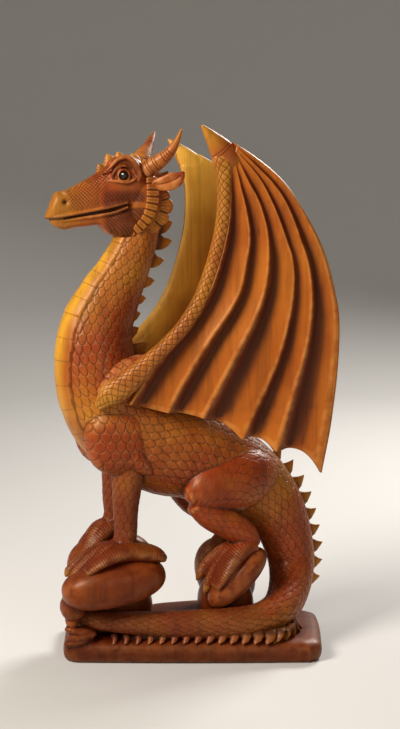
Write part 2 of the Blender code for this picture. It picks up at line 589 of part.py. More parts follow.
soft = [trunk()] + legs() + ground()
sharp = head() + ornaments() + crest()
for verts, faces in wing():
    far, turned = mirror((verts, faces))
    far = far - (0, 0, 1) * (FAR_TIP_DROP * np.clip((far[:, 2:] / SCALE - 260) / 240, 0, 1))
    sharp += [(verts, faces), (far, turned)]
dragon = bpy.data.objects.new("dragon", build_mesh("dragon", soft + sharp))
bpy.context.scene.collection.objects.link(dragon)
remesh = dragon.modifiers.new("block", "REMESH")
remesh.mode = "VOXEL"
remesh.voxel_size = GRAIN
even = dragon.modifiers.new("even", "SMOOTH")
even.factor = 0.5
even.iterations = 2
keep_largest(evaluated(dragon, "dragon"))
thin = dragon.modifiers.new("facets", "DECIMATE")
thin.ratio = FACES / (2 * len(dragon.data.polygons))
thin.use_collapse_triangulate = True
evaluated(dragon, "dragon")

turn = math.radians(TURN_DEG)
for name, side in (("left_eye", 1), ("right_eye", -1)):
    f, s, u = EYE[0] * SCALE / 1000, EYE[1] * SCALE * side / 1000, EYE[2] * SCALE / 1000
    where = (-f * math.cos(turn) + s * math.sin(turn), -f * math.sin(turn) - s * math.cos(turn), u)
    for kind, radius in (("socket", BEAD_RADIUS + BEAD_GAP), ("bead", BEAD_RADIUS)):
        mesh = bpy.data.meshes.new(name + "_" + kind)
        ball = bmesh.new()
        bmesh.ops.create_uvsphere(ball, u_segments=14, v_segments=9, radius=radius / 1000)
        bmesh.ops.translate(ball, verts=ball.verts, vec=where)
        for face in ball.faces:
            face.smooth = True
        ball.to_mesh(mesh)
        ball.free()
        thing = bpy.data.objects.new(name if kind == "bead" else name + "_socket", mesh)
        bpy.context.scene.collection.objects.link(thing)
        if kind == "bead":
            thing.data.materials.append(bead)
        else:
            thing.hide_render = True
            thing.display_type = "WIRE"
            cut = dragon.modifiers.new("socket", "BOOLEAN")
            cut.operation = "DIFFERENCE"
            cut.solver = "EXACT"
            cut.object = thing

dragon.data.materials.clear()
dragon.data.materials.append(wood)
for face in dragon.data.polygons:
    face.material_index = 0
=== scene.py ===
# %% [markdown]
# # A winged dragon carved from one block of wood
# The real piece is a seated dragon, half a metre tall, cut with gouges from a single block of reddish
# hardwood, stained, waxed and lightly lacquered, with a glossy black bead pressed into each eye socket.
# The measured model is loaded first as a fixed frame. Everything made below stands in that frame, in
# metres, and the measured model stays in the scene.

# %% Load the measured frame
import math

import bmesh
import bpy
import numpy as np
from mathutils import Matrix, Vector
from mathutils.bvhtree import BVHTree


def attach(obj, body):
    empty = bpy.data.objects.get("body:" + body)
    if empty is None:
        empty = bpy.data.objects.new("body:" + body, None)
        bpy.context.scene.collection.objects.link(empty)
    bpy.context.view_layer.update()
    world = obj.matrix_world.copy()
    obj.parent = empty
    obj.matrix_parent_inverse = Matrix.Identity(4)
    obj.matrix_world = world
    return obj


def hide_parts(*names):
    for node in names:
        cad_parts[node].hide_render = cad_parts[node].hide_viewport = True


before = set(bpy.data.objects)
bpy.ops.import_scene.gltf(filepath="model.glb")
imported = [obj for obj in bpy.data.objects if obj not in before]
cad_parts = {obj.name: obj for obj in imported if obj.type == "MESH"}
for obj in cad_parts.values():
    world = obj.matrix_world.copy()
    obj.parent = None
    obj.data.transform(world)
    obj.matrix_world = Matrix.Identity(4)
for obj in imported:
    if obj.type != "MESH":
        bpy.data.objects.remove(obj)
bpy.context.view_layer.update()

# %% [markdown]
# ## The dragon's own frame
# A carver lays out an animal along its own length and not along the base. The dragon faces a little
# towards the viewer, so its length is turned from the slab. All forms are written in millimetres as
# forward, side (its left) and up, and are turned onto the slab in one place only.

# %% Turn the dragon's frame onto the slab
TURN = math.radians(15.0)


def on_slab(points):
    """Forward, side and up in millimetres to the place on the slab in metres."""
    p = np.asarray(points, float) / 1000.0
    x = -p[..., 0] * math.cos(TURN) + p[..., 1] * math.sin(TURN)
    y = -p[..., 0] * math.sin(TURN) - p[..., 1] * math.cos(TURN)
    return np.stack((x, y, p[..., 2]), -1)


def off_slab(points):
    """The way back, from metres on the slab to the dragon's own millimetres."""
    p = np.asarray(points, float) * 1000.0
    f = -p[..., 0] * math.cos(TURN) - p[..., 1] * math.sin(TURN)
    s = p[..., 0] * math.sin(TURN) - p[..., 1] * math.cos(TURN)
    return np.stack((f, s, p[..., 2]), -1)


def from_slab(x, y):
    """Forward and side of points given on the slab's own axes, all in millimetres."""
    x, y = np.asarray(x, float), np.asarray(y, float)
    p = off_slab(np.stack((x, y, np.zeros_like(x)), -1) / 1000)
    return p[..., 0], p[..., 1]


print("turned by", round(math.degrees(TURN)), "degrees")

# %% [markdown]
# ## Smooth runs and round forms
# Necks, legs, horns and toes are all swept ovals: a short list of stations gives the place and the half
# sizes, and a smooth curve is drawn through them. Each swept form also remembers how far along and how
# far round every point lies, because the scales and tool lines that are cut later follow exactly those
# two directions.

# %% Smooth runs and soft steps
CHANNELS = ("row", "col", "scale", "line", "cross", "gold", "stain")


def spline(keys, count):
    """A smooth run through the rows of keys; every column is carried along."""
    keys = np.asarray(keys, float)
    gaps = np.sqrt(np.linalg.norm(np.diff(keys[:, :3], axis=0), axis=1)) + 1e-6
    at = np.concatenate(([0.0], np.cumsum(gaps)))
    slope = np.gradient(keys, at, axis=0)
    t = np.linspace(0.0, at[-1], count)
    k = np.clip(np.searchsorted(at, t, side="right") - 1, 0, len(at) - 2)
    h = (at[k + 1] - at[k])[:, None]
    x = (t - at[k])[:, None] / h
    out = (2 * x**3 - 3 * x**2 + 1) * keys[k] + (x**3 - 2 * x**2 + x) * h * slope[k]
    return out + (3 * x**2 - 2 * x**3) * keys[k + 1] + (x**3 - x**2) * h * slope[k + 1]


def unit(v):
    """Vectors of length one."""
    return v / np.maximum(np.linalg.norm(v, axis=-1, keepdims=True), 1e-9)


def smooth(low, high, value):
    """A soft step from 0 to 1 between two values; with low above high it falls instead."""
    t = np.clip((value - low) / (high - low), 0, 1)
    return t * t * (3 - 2 * t)


print("channels", CHANNELS)


# %% Closed forms and sweeps
def ring_faces(rows, around):
    """Triangles of a closed run of rings with a pole at each end."""
    i = np.arange(rows - 1)[:, None] * around
    j = np.arange(around)[None, :]
    k = (j + 1) % around
    a, b, c, d = (x.ravel() for x in (i + j, i + k, i + around + k, i + around + j))
    j, k = j[0], k[0]
    first = np.full(around, rows * around)
    end = (rows - 1) * around
    corners = ((a, b, c), (a, c, d), (first, k, j), (first + 1, end + j, end + k))
    return np.vstack([np.column_stack(x) for x in corners])


def form(verts, faces, **marks):
    """A closed form: points, outward triangles and what is cut into it."""
    a, b, c = (verts[faces[:, k]] - verts.mean(axis=0) for k in range(3))
    if np.einsum("ij,ij->i", a, np.cross(b, c)).sum() < 0:
        faces = faces[:, ::-1]
    part = {"verts": verts, "faces": faces}
    for name in ("run", "angle", "size") + CHANNELS:
        part[name] = np.zeros(len(verts)) + marks.get(name, 0.0)
    return part


def tube(keys, count=60, around=48, square=2.0, shape=None, under=None, upright=False):
    """Sweeps an oval along the keys: forward, side, up, half height, half width (to the side)."""
    rows = spline(keys, count)
    centre = rows[:, :3]
    high = np.maximum(rows[:, 3], 0.3)
    wide = np.maximum(rows[:, 4], 0.3)
    along = unit(np.gradient(centre, axis=0))
    if upright:
        along = np.tile(np.sign(along[0, 0]) * np.array((1.0, 0.0, 0.0)), (count, 1))
    ref = np.array((0.0, 1.0, 0.0))
    side = unit(ref - (along @ ref)[:, None] * along)
    normal = np.cross(side, along)
    turn = np.linspace(0, 2 * math.pi, around, endpoint=False)
    power = np.where(np.cos(turn) < 0, under or square, square)
    c = np.sign(np.cos(turn)) * np.abs(np.cos(turn)) ** (2 / power)
    s = np.sign(np.sin(turn)) * np.abs(np.sin(turn)) ** (2 / power)
    run = np.concatenate(([0.0], np.cumsum(np.linalg.norm(np.diff(centre, axis=0), axis=1))))
    grow = np.zeros((count, around))
    if shape is not None:
        grow = shape(np.linspace(0, 1, count)[:, None], turn[None, :], run[:, None])
    a = high[:, None] * c[None, :]
    b = wide[:, None] * s[None, :]
    scale = 1 + grow / np.maximum(np.sqrt(a**2 + b**2), 1.0)
    points = centre[:, None] + (a * scale)[..., None] * normal[:, None]
    points = points + (b * scale)[..., None] * side[:, None]
    ends = np.array([centre[0] - along[0] * high[0] * 0.4, centre[-1] + along[-1] * high[-1] * 0.4])
    part = form(np.vstack((points.reshape(-1, 3), ends)), ring_faces(count, around))
    part["run"][:-2] = np.repeat(run, around)
    part["run"][-1] = run[-1]
    part["angle"][:-2] = np.tile(np.minimum(turn, 2 * math.pi - turn), count)
    part["size"][:-2] = np.repeat((high + wide) / 2, around)
    return part


print("sweeps ready")


# %% Lumps, cones and the other side
def lump(centre, radii, tilt=0.0, rings=48, around=72, power=2.0):
    """An oval stone or muscle; tilt turns it in the upright plane, nose up."""
    a = np.linspace(0, math.pi, rings + 2)[1:-1]
    b = np.linspace(0, 2 * math.pi, around, endpoint=False)
    p = (np.outer(np.sin(a), np.cos(b)), np.outer(np.sin(a), np.sin(b)),
         np.outer(np.cos(a), np.ones(around)))
    p = np.stack(p, -1)
    p = np.sign(p) * np.abs(p) ** (2 / power)
    p = np.vstack((p.reshape(-1, 3), [(0, 0, 1), (0, 0, -1)])) * np.asarray(radii, float)
    t = math.radians(tilt)
    f = p[:, 0] * math.cos(t) - p[:, 2] * math.sin(t)
    u = p[:, 0] * math.sin(t) + p[:, 2] * math.cos(t)
    part = form(np.column_stack((f, p[:, 1], u)) + np.asarray(centre, float), ring_faces(rings, around))
    size = float(np.mean(radii))
    part["run"][:] = np.concatenate((np.repeat(a, around), (0.0, math.pi))) * size
    part["angle"][:-2] = np.tile(np.minimum(b, 2 * math.pi - b), rings)
    part["size"][:] = size
    return part


def cone(points, radii, count=40, around=32):
    """A round tapering form through the points, such as a horn, a toe or a claw."""
    return tube([tuple(p) + (r, r) for p, r in zip(points, radii)], count, around)


def mirror(part):
    """The same form on the dragon's other side."""
    twin = {name: value.copy() for name, value in part.items()}
    twin["verts"] = part["verts"] * (1, -1, 1)
    twin["faces"] = part["faces"][:, ::-1]
    return twin


print("lumps ready")

# %% [markdown]
# ## Cutting the scales
# The scales are rows of hanging arcs, each row set half a scale over, like roof tiles with their round
# edge towards the tail. One formula gives the cut line and the gentle rise towards each free edge. It is
# used twice: here to move the surface, and further down in the material for the fine, sharp part of the
# line.

# %% The scale, line and diamond patterns
ARC_DEPTH = 0.92


def scale_pattern(row, col, width):
    """Cut line (1 in the cut) and rise (1 at the free edge) of the hanging arcs."""
    k = np.floor(row)
    y = row - k
    a = np.mod(col + 0.5 * np.mod(k, 2), 1.0) - 0.5
    q = np.sqrt(4 * a * a + (y / ARC_DEPTH) ** 2)
    gap = np.abs(q - 1) * (0.5 + 0.4 * (y / ARC_DEPTH) ** 2)
    arc = ARC_DEPTH * np.sqrt(np.maximum(1 - 4 * a * a, 0))
    b = 0.5 - np.abs(a)
    lower = 1 + ARC_DEPTH * np.sqrt(np.maximum(1 - 4 * b * b, 0))
    rise = np.where(q < 1, 1 + (y - arc) / 1.6, 1 + (y - lower) / 1.6)
    return 1 - smooth(0, width, gap), np.clip(rise, 0, 1)


def line_pattern(value, width):
    """A straight cut each time the value passes a whole number."""
    return 1 - smooth(0, width, np.abs(np.mod(value + 0.5, 1.0) - 0.5))


def relief(part, depth=0.55):
    """How far, in millimetres, the cut patterns move each point."""
    line, rise = scale_pattern(part["row"], part["col"], 0.13)
    move = part["scale"] * (0.6 * depth * rise - depth * line)
    move -= part["line"] * depth * line_pattern(part["row"], 0.16)
    return move - part["cross"] * depth * line_pattern(part["col"], 0.16)


def with_scales(part, pitch, strength=1.0):
    """Rows along the form and columns round it, one scale to each `pitch` millimetres."""
    part["row"] = part["run"] / pitch
    part["col"] = part["angle"] * part["size"] / (0.95 * pitch)
    part["scale"] = np.full(len(part["verts"]), strength)
    return part


def with_lines(part, pitch, strength=1.0):
    """Straight tool cuts across the form every `pitch` millimetres."""
    part["row"] = part["run"] / pitch
    part["line"] = np.full(len(part["verts"]), strength)
    return part


print("patterns ready")

# %% [markdown]
# ## From many forms to one carved skin
# A carver does not glue forms together, so the swept forms are melted into one skin with a voxel remesh,
# which rounds every meeting as a gouge would. The remesh forgets what was to be cut where, so each new
# point looks up the nearest point of the old forms and takes its rows and columns from there. Last the
# skin is moved by the patterns, each point learns how deep in a hollow it lies, which the stain will
# need, and the broad hollows are darkened as painted shade.

# %% Meshes and what is stored on them
def joined(parts):
    """The points, triangles and channels of many forms as one."""
    base = np.cumsum([0] + [len(p["verts"]) for p in parts[:-1]])
    whole = {"verts": np.vstack([p["verts"] for p in parts])}
    whole["faces"] = np.vstack([p["faces"] + b for p, b in zip(parts, base)])
    for name in CHANNELS:
        whole[name] = np.concatenate([p[name] for p in parts])
    return whole


def mesh_of(name, points, faces):
    """A plain mesh from points in metres and their faces."""
    mesh = bpy.data.meshes.new(name)
    mesh.from_pydata(points.tolist(), [], faces.tolist())
    mesh.update()
    return mesh


def show(name, mesh):
    """Puts a mesh, a light or a camera in the scene under its name."""
    thing = bpy.data.objects.new(name, mesh)
    bpy.context.scene.collection.objects.link(thing)
    return thing


def applied(thing):
    """The plain mesh that a thing's modifiers give."""
    graph = bpy.context.evaluated_depsgraph_get()
    mesh = bpy.data.meshes.new_from_object(thing.evaluated_get(graph))
    mesh.name = thing.name
    thing.modifiers.clear()
    thing.data = mesh
    return mesh


def read(mesh, kind, size=3, field="co"):
    """The places of the vertices, or the two vertices of each edge."""
    values = np.empty(len(getattr(mesh, kind)) * size, np.int32 if field == "vertices" else np.float32)
    getattr(mesh, kind).foreach_get(field, values)
    return values.reshape(-1, size)


def place(mesh, points):
    """Moves the mesh's points to these places, given in the dragon's own millimetres."""
    mesh.vertices.foreach_set("co", on_slab(points).astype(np.float32).ravel())
    mesh.update()


def store(mesh, name, values, kind="FLOAT"):
    """Keeps a value for each point of the mesh, for a material or a tree to read by its name."""
    layer = mesh.attributes.new(name, kind, "POINT")
    layer.data.foreach_set("value" if kind == "FLOAT" else "vector", np.asarray(values, np.float32).ravel())


print("mesh helpers ready")


# %% Melt the forms and look up their channels
def softened(points, edges, turns):
    """Each point moves halfway to the mean of its neighbours, a few times over."""
    count = np.bincount(edges.ravel(), minlength=len(points)).astype(float)[:, None]
    count = np.maximum(count, 1)
    for _ in range(turns):
        mean = np.empty_like(points)
        for c in range(3):
            both_ways = np.bincount(edges[:, 0], points[edges[:, 1], c], len(points))
            mean[:, c] = both_ways + np.bincount(edges[:, 1], points[edges[:, 0], c], len(points))
        points = points + 0.5 * (mean / count - points)
    return points


def looked_up(points, whole):
    """The channels of the nearest places on the joined forms."""
    verts, faces = whole["verts"], whole["faces"]
    tree = BVHTree.FromPolygons(verts.tolist(), faces.tolist(), all_triangles=True)
    hits = [tree.find_nearest(p) for p in points.tolist()]
    near = np.array([tuple(h[0]) for h in hits])
    face = faces[np.array([h[2] for h in hits])]
    a, b, c = (verts[face[:, k]] for k in range(3))
    area = np.linalg.norm(np.cross(b - a, c - a), axis=1) + 1e-12
    u = np.linalg.norm(np.cross(b - near, c - near), axis=1) / area
    v = np.linalg.norm(np.cross(c - near, a - near), axis=1) / area
    weights = np.column_stack((u, v, np.clip(1 - u - v, 0, 1)))
    return {name: (whole[name][face] * weights).sum(axis=1) for name in CHANNELS}


def melted(name, parts, voxel, turns=2):
    """One skin over many forms, with the channels of the forms looked up for it."""
    whole = joined(parts)
    thing = show(name, mesh_of(name, whole["verts"] / 1000, whole["faces"]))
    remesh = thing.modifiers.new("melt", "REMESH")
    remesh.mode = "VOXEL"
    remesh.voxel_size = voxel / 1000
    mesh = applied(thing)
    bpy.data.objects.remove(thing)
    points = softened(read(mesh, "vertices").astype(float), read(mesh, "edges", 2, "vertices"), turns)
    part = looked_up(points * 1000, whole)
    part["verts"] = points * 1000
    place(mesh, part["verts"])
    return mesh, part


def direct(name, parts):
    """A mesh straight from its forms, where the edges must stay sharp."""
    whole = joined(parts)
    return mesh_of(name, on_slab(whole["verts"]), whole["faces"]), whole


print("melting ready")

# %% Cut the patterns, keep the hollows, paint shade into broad hollows and dress the piece
NEAR_TURNS, BROAD_TURNS = 14, 60
PIECES = []


def below(upper, lower, normals):
    """How many millimetres the lower surface lies under the upper one."""
    return np.einsum("ij,ij->i", upper - lower, normals) * 1000


def darker(part, amount):
    """Deepens the dark channel of stain and painted shade wherever the amount is more than what is there.
    """
    part["stain"] = np.maximum(part["stain"], amount)


def finish_skin(name, mesh, part, material, depth=0.55):
    """Paints shade into the broad hollows, stores the channels and the hollows, and moves the skin."""
    edges = read(mesh, "edges", 2, "vertices")
    points = read(mesh, "vertices").astype(float)
    normals = np.array([tuple(n.vector) for n in mesh.vertex_normals])
    calm = softened(points, edges, NEAR_TURNS)
    # Painted shade: broad hollows, such as the creases where arm, neck and body meet, are darkened.
    darker(part, 0.95 * smooth(0.2, 1.6, below(softened(calm, edges, BROAD_TURNS), calm, normals)))
    for name_of in CHANNELS:
        store(mesh, name_of, part[name_of])
    store(mesh, "hollow", below(calm, points, normals))
    points = points + normals * relief(part, depth)[:, None] / 1000
    mesh.vertices.foreach_set("co", points.astype(np.float32).ravel())
    mesh.update()
    return dress(name, mesh, material)


def dress(name, mesh, material):
    """Puts a finished mesh in the scene with its material, smooth shaded."""
    thing = show(name, mesh)
    mesh.materials.clear()
    mesh.materials.append(material)
    mesh.polygons.foreach_set("use_smooth", [True] * len(mesh.polygons))
    print(name, "triangles", sum(len(p.vertices) - 2 for p in mesh.polygons))
    PIECES.append(thing)
    return thing


print("finishing ready")

# %% [markdown]
# ## Wood under stain and wax
# The block is a reddish hardwood with its grain upright. Stain has gathered in the cuts, and handling and
# sanding have bared the golden wood on the ridges. Painted shade is laid into the broad hollows, the low
# parts and the wing flutes, and a painted sheen lightens the free edge of every scale. Grain, cut lines
# and hollows are three node groups, so each finish on the carving can use the same three with its own
# values.

# %% Small helpers for node trees
def group(name, ins, outs):
    """An empty shader node group: its tree, and its named inputs and outputs."""
    tree = bpy.data.node_groups.new(name, "ShaderNodeTree")
    for label, value in ins.items():
        kind = "NodeSocketColor" if isinstance(value, tuple) else "NodeSocketFloat"
        socket = tree.interface.new_socket(label, in_out="INPUT", socket_type=kind)
        socket.default_value = value
    for label, kind in outs.items():
        tree.interface.new_socket(label, in_out="OUTPUT", socket_type=kind)
    return tree, tree.nodes.new("NodeGroupInput").outputs, tree.nodes.new("NodeGroupOutput").inputs


def plug(tree, socket, value):
    """Links a socket to another, or sets its own value."""
    if isinstance(value, bpy.types.NodeSocket):
        tree.links.new(value, socket)
    else:
        socket.default_value = value


def maths(tree, operation, *values, clamp=False):
    """One step of arithmetic."""
    node = tree.nodes.new("ShaderNodeMath")
    node.operation = operation
    node.use_clamp = clamp
    for socket, value in zip(node.inputs, values):
        plug(tree, socket, value)
    return node.outputs[0]


def ranged(tree, value, low, high, to_low=0.0, to_high=1.0):
    """The soft step, as a node."""
    node = tree.nodes.new("ShaderNodeMapRange")
    node.interpolation_type = "SMOOTHSTEP"
    for socket, v in zip(node.inputs, (value, low, high, to_low, to_high)):
        plug(tree, socket, v)
    return node.outputs[0]


def mixed(tree, amount, first, second, kind="MIX"):
    """Two colours mixed or multiplied."""
    node = tree.nodes.new("ShaderNodeMix")
    node.data_type = "RGBA"
    node.blend_type = kind
    for socket, value in zip((node.inputs[0], node.inputs[6], node.inputs[7]), (amount, first, second)):
        plug(tree, socket, value)
    return node.outputs[2]


def channel(tree, name):
    """A value that was stored on the points."""
    node = tree.nodes.new("ShaderNodeAttribute")
    node.attribute_name = name
    return node.outputs["Fac"]


def placed(tree, shared, **values):
    """A shared group placed in a material with its own values."""
    node = tree.nodes.new("ShaderNodeGroup")
    node.node_tree = shared
    for label, value in values.items():
        plug(tree, node.inputs[label], value)
    return node.outputs


def noise(tree, vector, scale, detail=3.0, rough=0.55, distort=0.0):
    """A cloudy value between 0 and 1."""
    node = tree.nodes.new("ShaderNodeTexNoise")
    for label, value in (("Vector", vector), ("Scale", scale), ("Detail", detail), ("Roughness", rough),
                         ("Distortion", distort)):
        plug(tree, node.inputs[label], value)
    return node.outputs[0]


def own_place(tree):
    """Where a point lies on the carving, in metres."""
    return tree.nodes.new("ShaderNodeTexCoord").outputs["Object"]


def new_material(name):
    """An empty material, its tree and its shader."""
    material = bpy.data.materials.new(name)
    material.use_nodes = True
    return material, material.node_tree, material.node_tree.nodes["Principled BSDF"]


print("node helpers ready")

# %% The grain of the block
grain, GIN, GOUT = group("upright grain", {"Streaks": 260.0, "Length": 0.06, "Wander": 0.35},
                         dict.fromkeys(("Figure", "Pores", "Cloud"), "NodeSocketFloat"))
coords = own_place(grain)
sizes = grain.nodes.new("ShaderNodeCombineXYZ")
along = maths(grain, "MULTIPLY", GIN["Streaks"], GIN["Length"])
for socket, value in zip(sizes.inputs, (GIN["Streaks"], GIN["Streaks"], along)):
    plug(grain, socket, value)
stretch = grain.nodes.new("ShaderNodeMapping")
plug(grain, stretch.inputs["Vector"], coords)
plug(grain, stretch.inputs["Scale"], sizes.outputs[0])
streak = noise(grain, stretch.outputs[0], 0.35, 4.0, 0.6, GIN["Wander"])
plug(grain, GOUT["Figure"], ranged(grain, streak, 0.3, 0.72))
plug(grain, GOUT["Pores"], ranged(grain, noise(grain, stretch.outputs[0], 1.6, 2.0, 0.5), 0.6, 0.78))
plug(grain, GOUT["Cloud"], noise(grain, coords, 16.0, 3.0, 0.5, 0.3))
print("group", grain.name)

# %% The cut lines, drawn with the same formula as the moved surface
cuts, CIN, COUT = group("cut lines", {"Width": 0.1}, dict.fromkeys(("Cut", "Rise"), "NodeSocketFloat"))
row, col = channel(cuts, "row"), channel(cuts, "col")
k = maths(cuts, "FLOOR", row)
y = maths(cuts, "SUBTRACT", row, k)
shift = maths(cuts, "MULTIPLY", maths(cuts, "FLOORED_MODULO", k, 2.0), 0.5)
a = maths(cuts, "SUBTRACT", maths(cuts, "FRACT", maths(cuts, "ADD", col, shift)), 0.5)
wide2 = maths(cuts, "MULTIPLY", maths(cuts, "MULTIPLY", a, a), 4.0)
tall = maths(cuts, "DIVIDE", y, ARC_DEPTH)
tall2 = maths(cuts, "MULTIPLY", tall, tall)
q = maths(cuts, "SQRT", maths(cuts, "ADD", wide2, tall2))
off = maths(cuts, "SUBTRACT", q, 1.0)
gap = maths(cuts, "MULTIPLY", maths(cuts, "ABSOLUTE", off), maths(cuts, "MULTIPLY_ADD", tall2, 0.4, 0.5))
arc_line = ranged(cuts, gap, 0.0, CIN["Width"], 1.0, 0.0)
scale_line = maths(cuts, "MULTIPLY", arc_line, channel(cuts, "scale"))


def cut_at(value, mask):
    """A cut line at each whole number of the value."""
    part_way = maths(cuts, "FRACT", maths(cuts, "ADD", value, 0.5))
    near = maths(cuts, "ABSOLUTE", maths(cuts, "SUBTRACT", part_way, 0.5))
    line = ranged(cuts, near, 0.0, maths(cuts, "MULTIPLY", CIN["Width"], 1.5), 1.0, 0.0)
    return maths(cuts, "MULTIPLY", line, channel(cuts, mask))


both_lines = maths(cuts, "MAXIMUM", cut_at(row, "line"), cut_at(col, "cross"))
plug(cuts, COUT["Cut"], maths(cuts, "MAXIMUM", scale_line, both_lines))
plug(cuts, COUT["Rise"], maths(cuts, "MULTIPLY", ranged(cuts, off, -0.9, 0.0), channel(cuts, "scale")))
print("group", cuts.name)

# %% Stain and painted shade in the hollows, bared wood and painted sheen on the ridges
stain_wear_and_painted_light, PIN, POUT = group("stain and wear",
                          {"Wood": (0.5, 0.2, 0.05, 1.0), "Stain": (0.05, 0.01, 0.004, 1.0),
                           "Bared": (0.6, 0.3, 0.1, 1.0), "Cut": 0.0, "Edge": 0.0, "Depth": 0.6,
                           "Height": 0.5},
                          {"Colour": "NodeSocketColor", "Dark": "NodeSocketFloat"})
deep = ranged(stain_wear_and_painted_light, channel(stain_wear_and_painted_light, "hollow"), 0.0, PIN["Depth"])
wear_and_sheen = ranged(stain_wear_and_painted_light, maths(stain_wear_and_painted_light, "MULTIPLY", channel(stain_wear_and_painted_light, "hollow"), -1.0), 0.05, PIN["Height"])
patchiness = noise(stain_wear_and_painted_light, own_place(stain_wear_and_painted_light), 120.0, 2.0)
# The free edge of every scale is lightened towards the bared colour as a painted sheen, on top of real wear
# on the ridges.
wear_and_sheen = maths(stain_wear_and_painted_light, "MAXIMUM", wear_and_sheen, maths(stain_wear_and_painted_light, "MULTIPLY",
                                              ranged(stain_wear_and_painted_light, PIN["Edge"], 0.78, 1.0), 0.32))
wear_and_sheen = maths(stain_wear_and_painted_light, "MULTIPLY", wear_and_sheen, ranged(stain_wear_and_painted_light, patchiness, 0.25, 0.7))
dark = maths(stain_wear_and_painted_light, "MAXIMUM", maths(stain_wear_and_painted_light, "MULTIPLY", deep, 0.85),
             maths(stain_wear_and_painted_light, "MULTIPLY", PIN["Cut"], 0.5))
# The stored channel of stain and painted shade darkens further: stain in cuts, painted shade in hollows and
# low parts.
dark = maths(stain_wear_and_painted_light, "MAXIMUM", dark, maths(stain_wear_and_painted_light, "MULTIPLY", channel(stain_wear_and_painted_light, "stain"), 0.9))
wood_with_wear_and_sheen = mixed(stain_wear_and_painted_light, maths(stain_wear_and_painted_light, "MULTIPLY", wear_and_sheen, 0.5), PIN["Wood"], PIN["Bared"])
plug(stain_wear_and_painted_light, POUT["Colour"], mixed(stain_wear_and_painted_light, dark, wood_with_wear_and_sheen, PIN["Stain"]))
plug(stain_wear_and_painted_light, POUT["Dark"], dark)
print("group", stain_wear_and_painted_light.name)

# %% The finishes
WAX_ROUGHNESS = 0.37
CUT_DEPTH = 0.0005
WARM_TINT = (1.0, 0.66, 0.4, 1)


def finish(name, red, gold, stain, bared, streaks=260.0, length=0.06, contrast=0.5, width=0.1,
           specular=0.4):
    """A stained, waxed wood: red and gold wood mixed by the gold channel and the grain."""
    material, tree, shader = new_material(name)
    red, gold, stain, bared = ((*colour, 1) for colour in (red, gold, stain, bared))
    figure = placed(tree, grain, Streaks=streaks, Length=length, Wander=0.35)
    cut = placed(tree, cuts, Width=width)
    cloud = maths(tree, "SUBTRACT", figure["Cloud"], 0.5)
    wood = mixed(tree, maths(tree, "MULTIPLY_ADD", cloud, 1.4, channel(tree, "gold"), clamp=True), red,
                 gold)
    shade = maths(tree, "MULTIPLY_ADD", figure["Figure"], contrast, 1 - contrast * 0.6)
    wood = mixed(tree, 1.0, wood, mixed(tree, shade, (0, 0, 0, 1), (1, 1, 1, 1)), "MULTIPLY")
    wood = mixed(tree, maths(tree, "MULTIPLY", figure["Pores"], 0.35), wood, stain)
    skin = placed(tree, stain_wear_and_painted_light, Wood=wood, Stain=stain, Bared=bared, Cut=cut["Cut"], Edge=cut["Rise"])
    gloss = maths(tree, "MULTIPLY_ADD", figure["Pores"], 0.12, WAX_ROUGHNESS)
    gloss = maths(tree, "MULTIPLY_ADD", skin["Dark"], 0.22, gloss)
    gloss = maths(tree, "MULTIPLY_ADD", figure["Cloud"], 0.1, gloss)
    height = maths(tree, "MULTIPLY_ADD", cut["Rise"], 0.35, maths(tree, "MULTIPLY", cut["Cut"], -1.0))
    height = maths(tree, "MULTIPLY_ADD", figure["Figure"], 0.12, height)
    height = maths(tree, "MULTIPLY_ADD", figure["Pores"], -0.12, height)
    bump = tree.nodes.new("ShaderNodeBump")
    for label, value in (("Strength", 1.0), ("Distance", CUT_DEPTH), ("Height", height)):
        plug(tree, bump.inputs[label], value)
    for label, value in (("Base Color", skin["Colour"]), ("Roughness", gloss),
                         ("Normal", bump.outputs[0]), ("Specular IOR Level", specular),
                         ("Specular Tint", WARM_TINT), ("Coat Weight", 0.08), ("Coat Roughness", 0.22)):
        plug(tree, shader.inputs[label], value)
    return material


SCALED = finish("scaled wood", (0.23, 0.028, 0.003), (0.56, 0.26, 0.018), (0.03, 0.004, 0.001),
                (0.60, 0.24, 0.07), width=0.08)
WINGED = finish("wing wood", (0.20, 0.022, 0.002), (0.47, 0.13, 0.008), (0.03, 0.0035, 0.001),
                (0.58, 0.23, 0.05), 420.0, 0.035, 0.45)
# The far wing takes the wing wood painted lighter and more golden: painted light on its lit inner face.
LIT = finish("pale wing wood", (0.22, 0.034, 0.003), (0.72, 0.38, 0.045), (0.04, 0.006, 0.002),
             (0.66, 0.32, 0.08), 420.0, 0.035, 0.35)
# The slab and stones take the same wood painted much darker: painted shade on the low base.
BASE_IN_PAINTED_SHADE = finish("stone wood", (0.10, 0.011, 0.0015), (0.26, 0.046, 0.004), (0.018, 0.002, 0.001),
               (0.38, 0.11, 0.025), 300.0, 0.04, 0.6, specular=0.3)
print("finishes", [m.name for m in (SCALED, WINGED, LIT, BASE_IN_PAINTED_SHADE)])

# %% [markdown]
# ## Neck, body and tail
# One sweep runs from the back of the head down the neck, through the body, over the rump and round the
# front of the slab. The throat and chest carry broad plates with a seam beside them; everything else is
# scaled, with the scales growing from the neck to the flank and shrinking again to the tip of the tail.

# %% The throat and chest plates
PLATE_ENDS = np.array([12.0, 30, 50, 73, 98, 126, 158, 192, 224])


def plate_half(run):
    """Half the angle that the plates cover, narrower towards the belly."""
    return 0.85 - 0.25 * smooth(120, 220, run)


def plate_edge(run, turn):
    """Mask of the throat and chest plates, and the depth of the seam beside them."""
    half = plate_half(run)
    off = np.abs(turn - math.pi) / half
    reach = smooth(14, 20, run) * smooth(232, 214, run)
    return (off < 1) * reach, np.exp(-(((off - 1) * half / 0.035) ** 2)) * reach


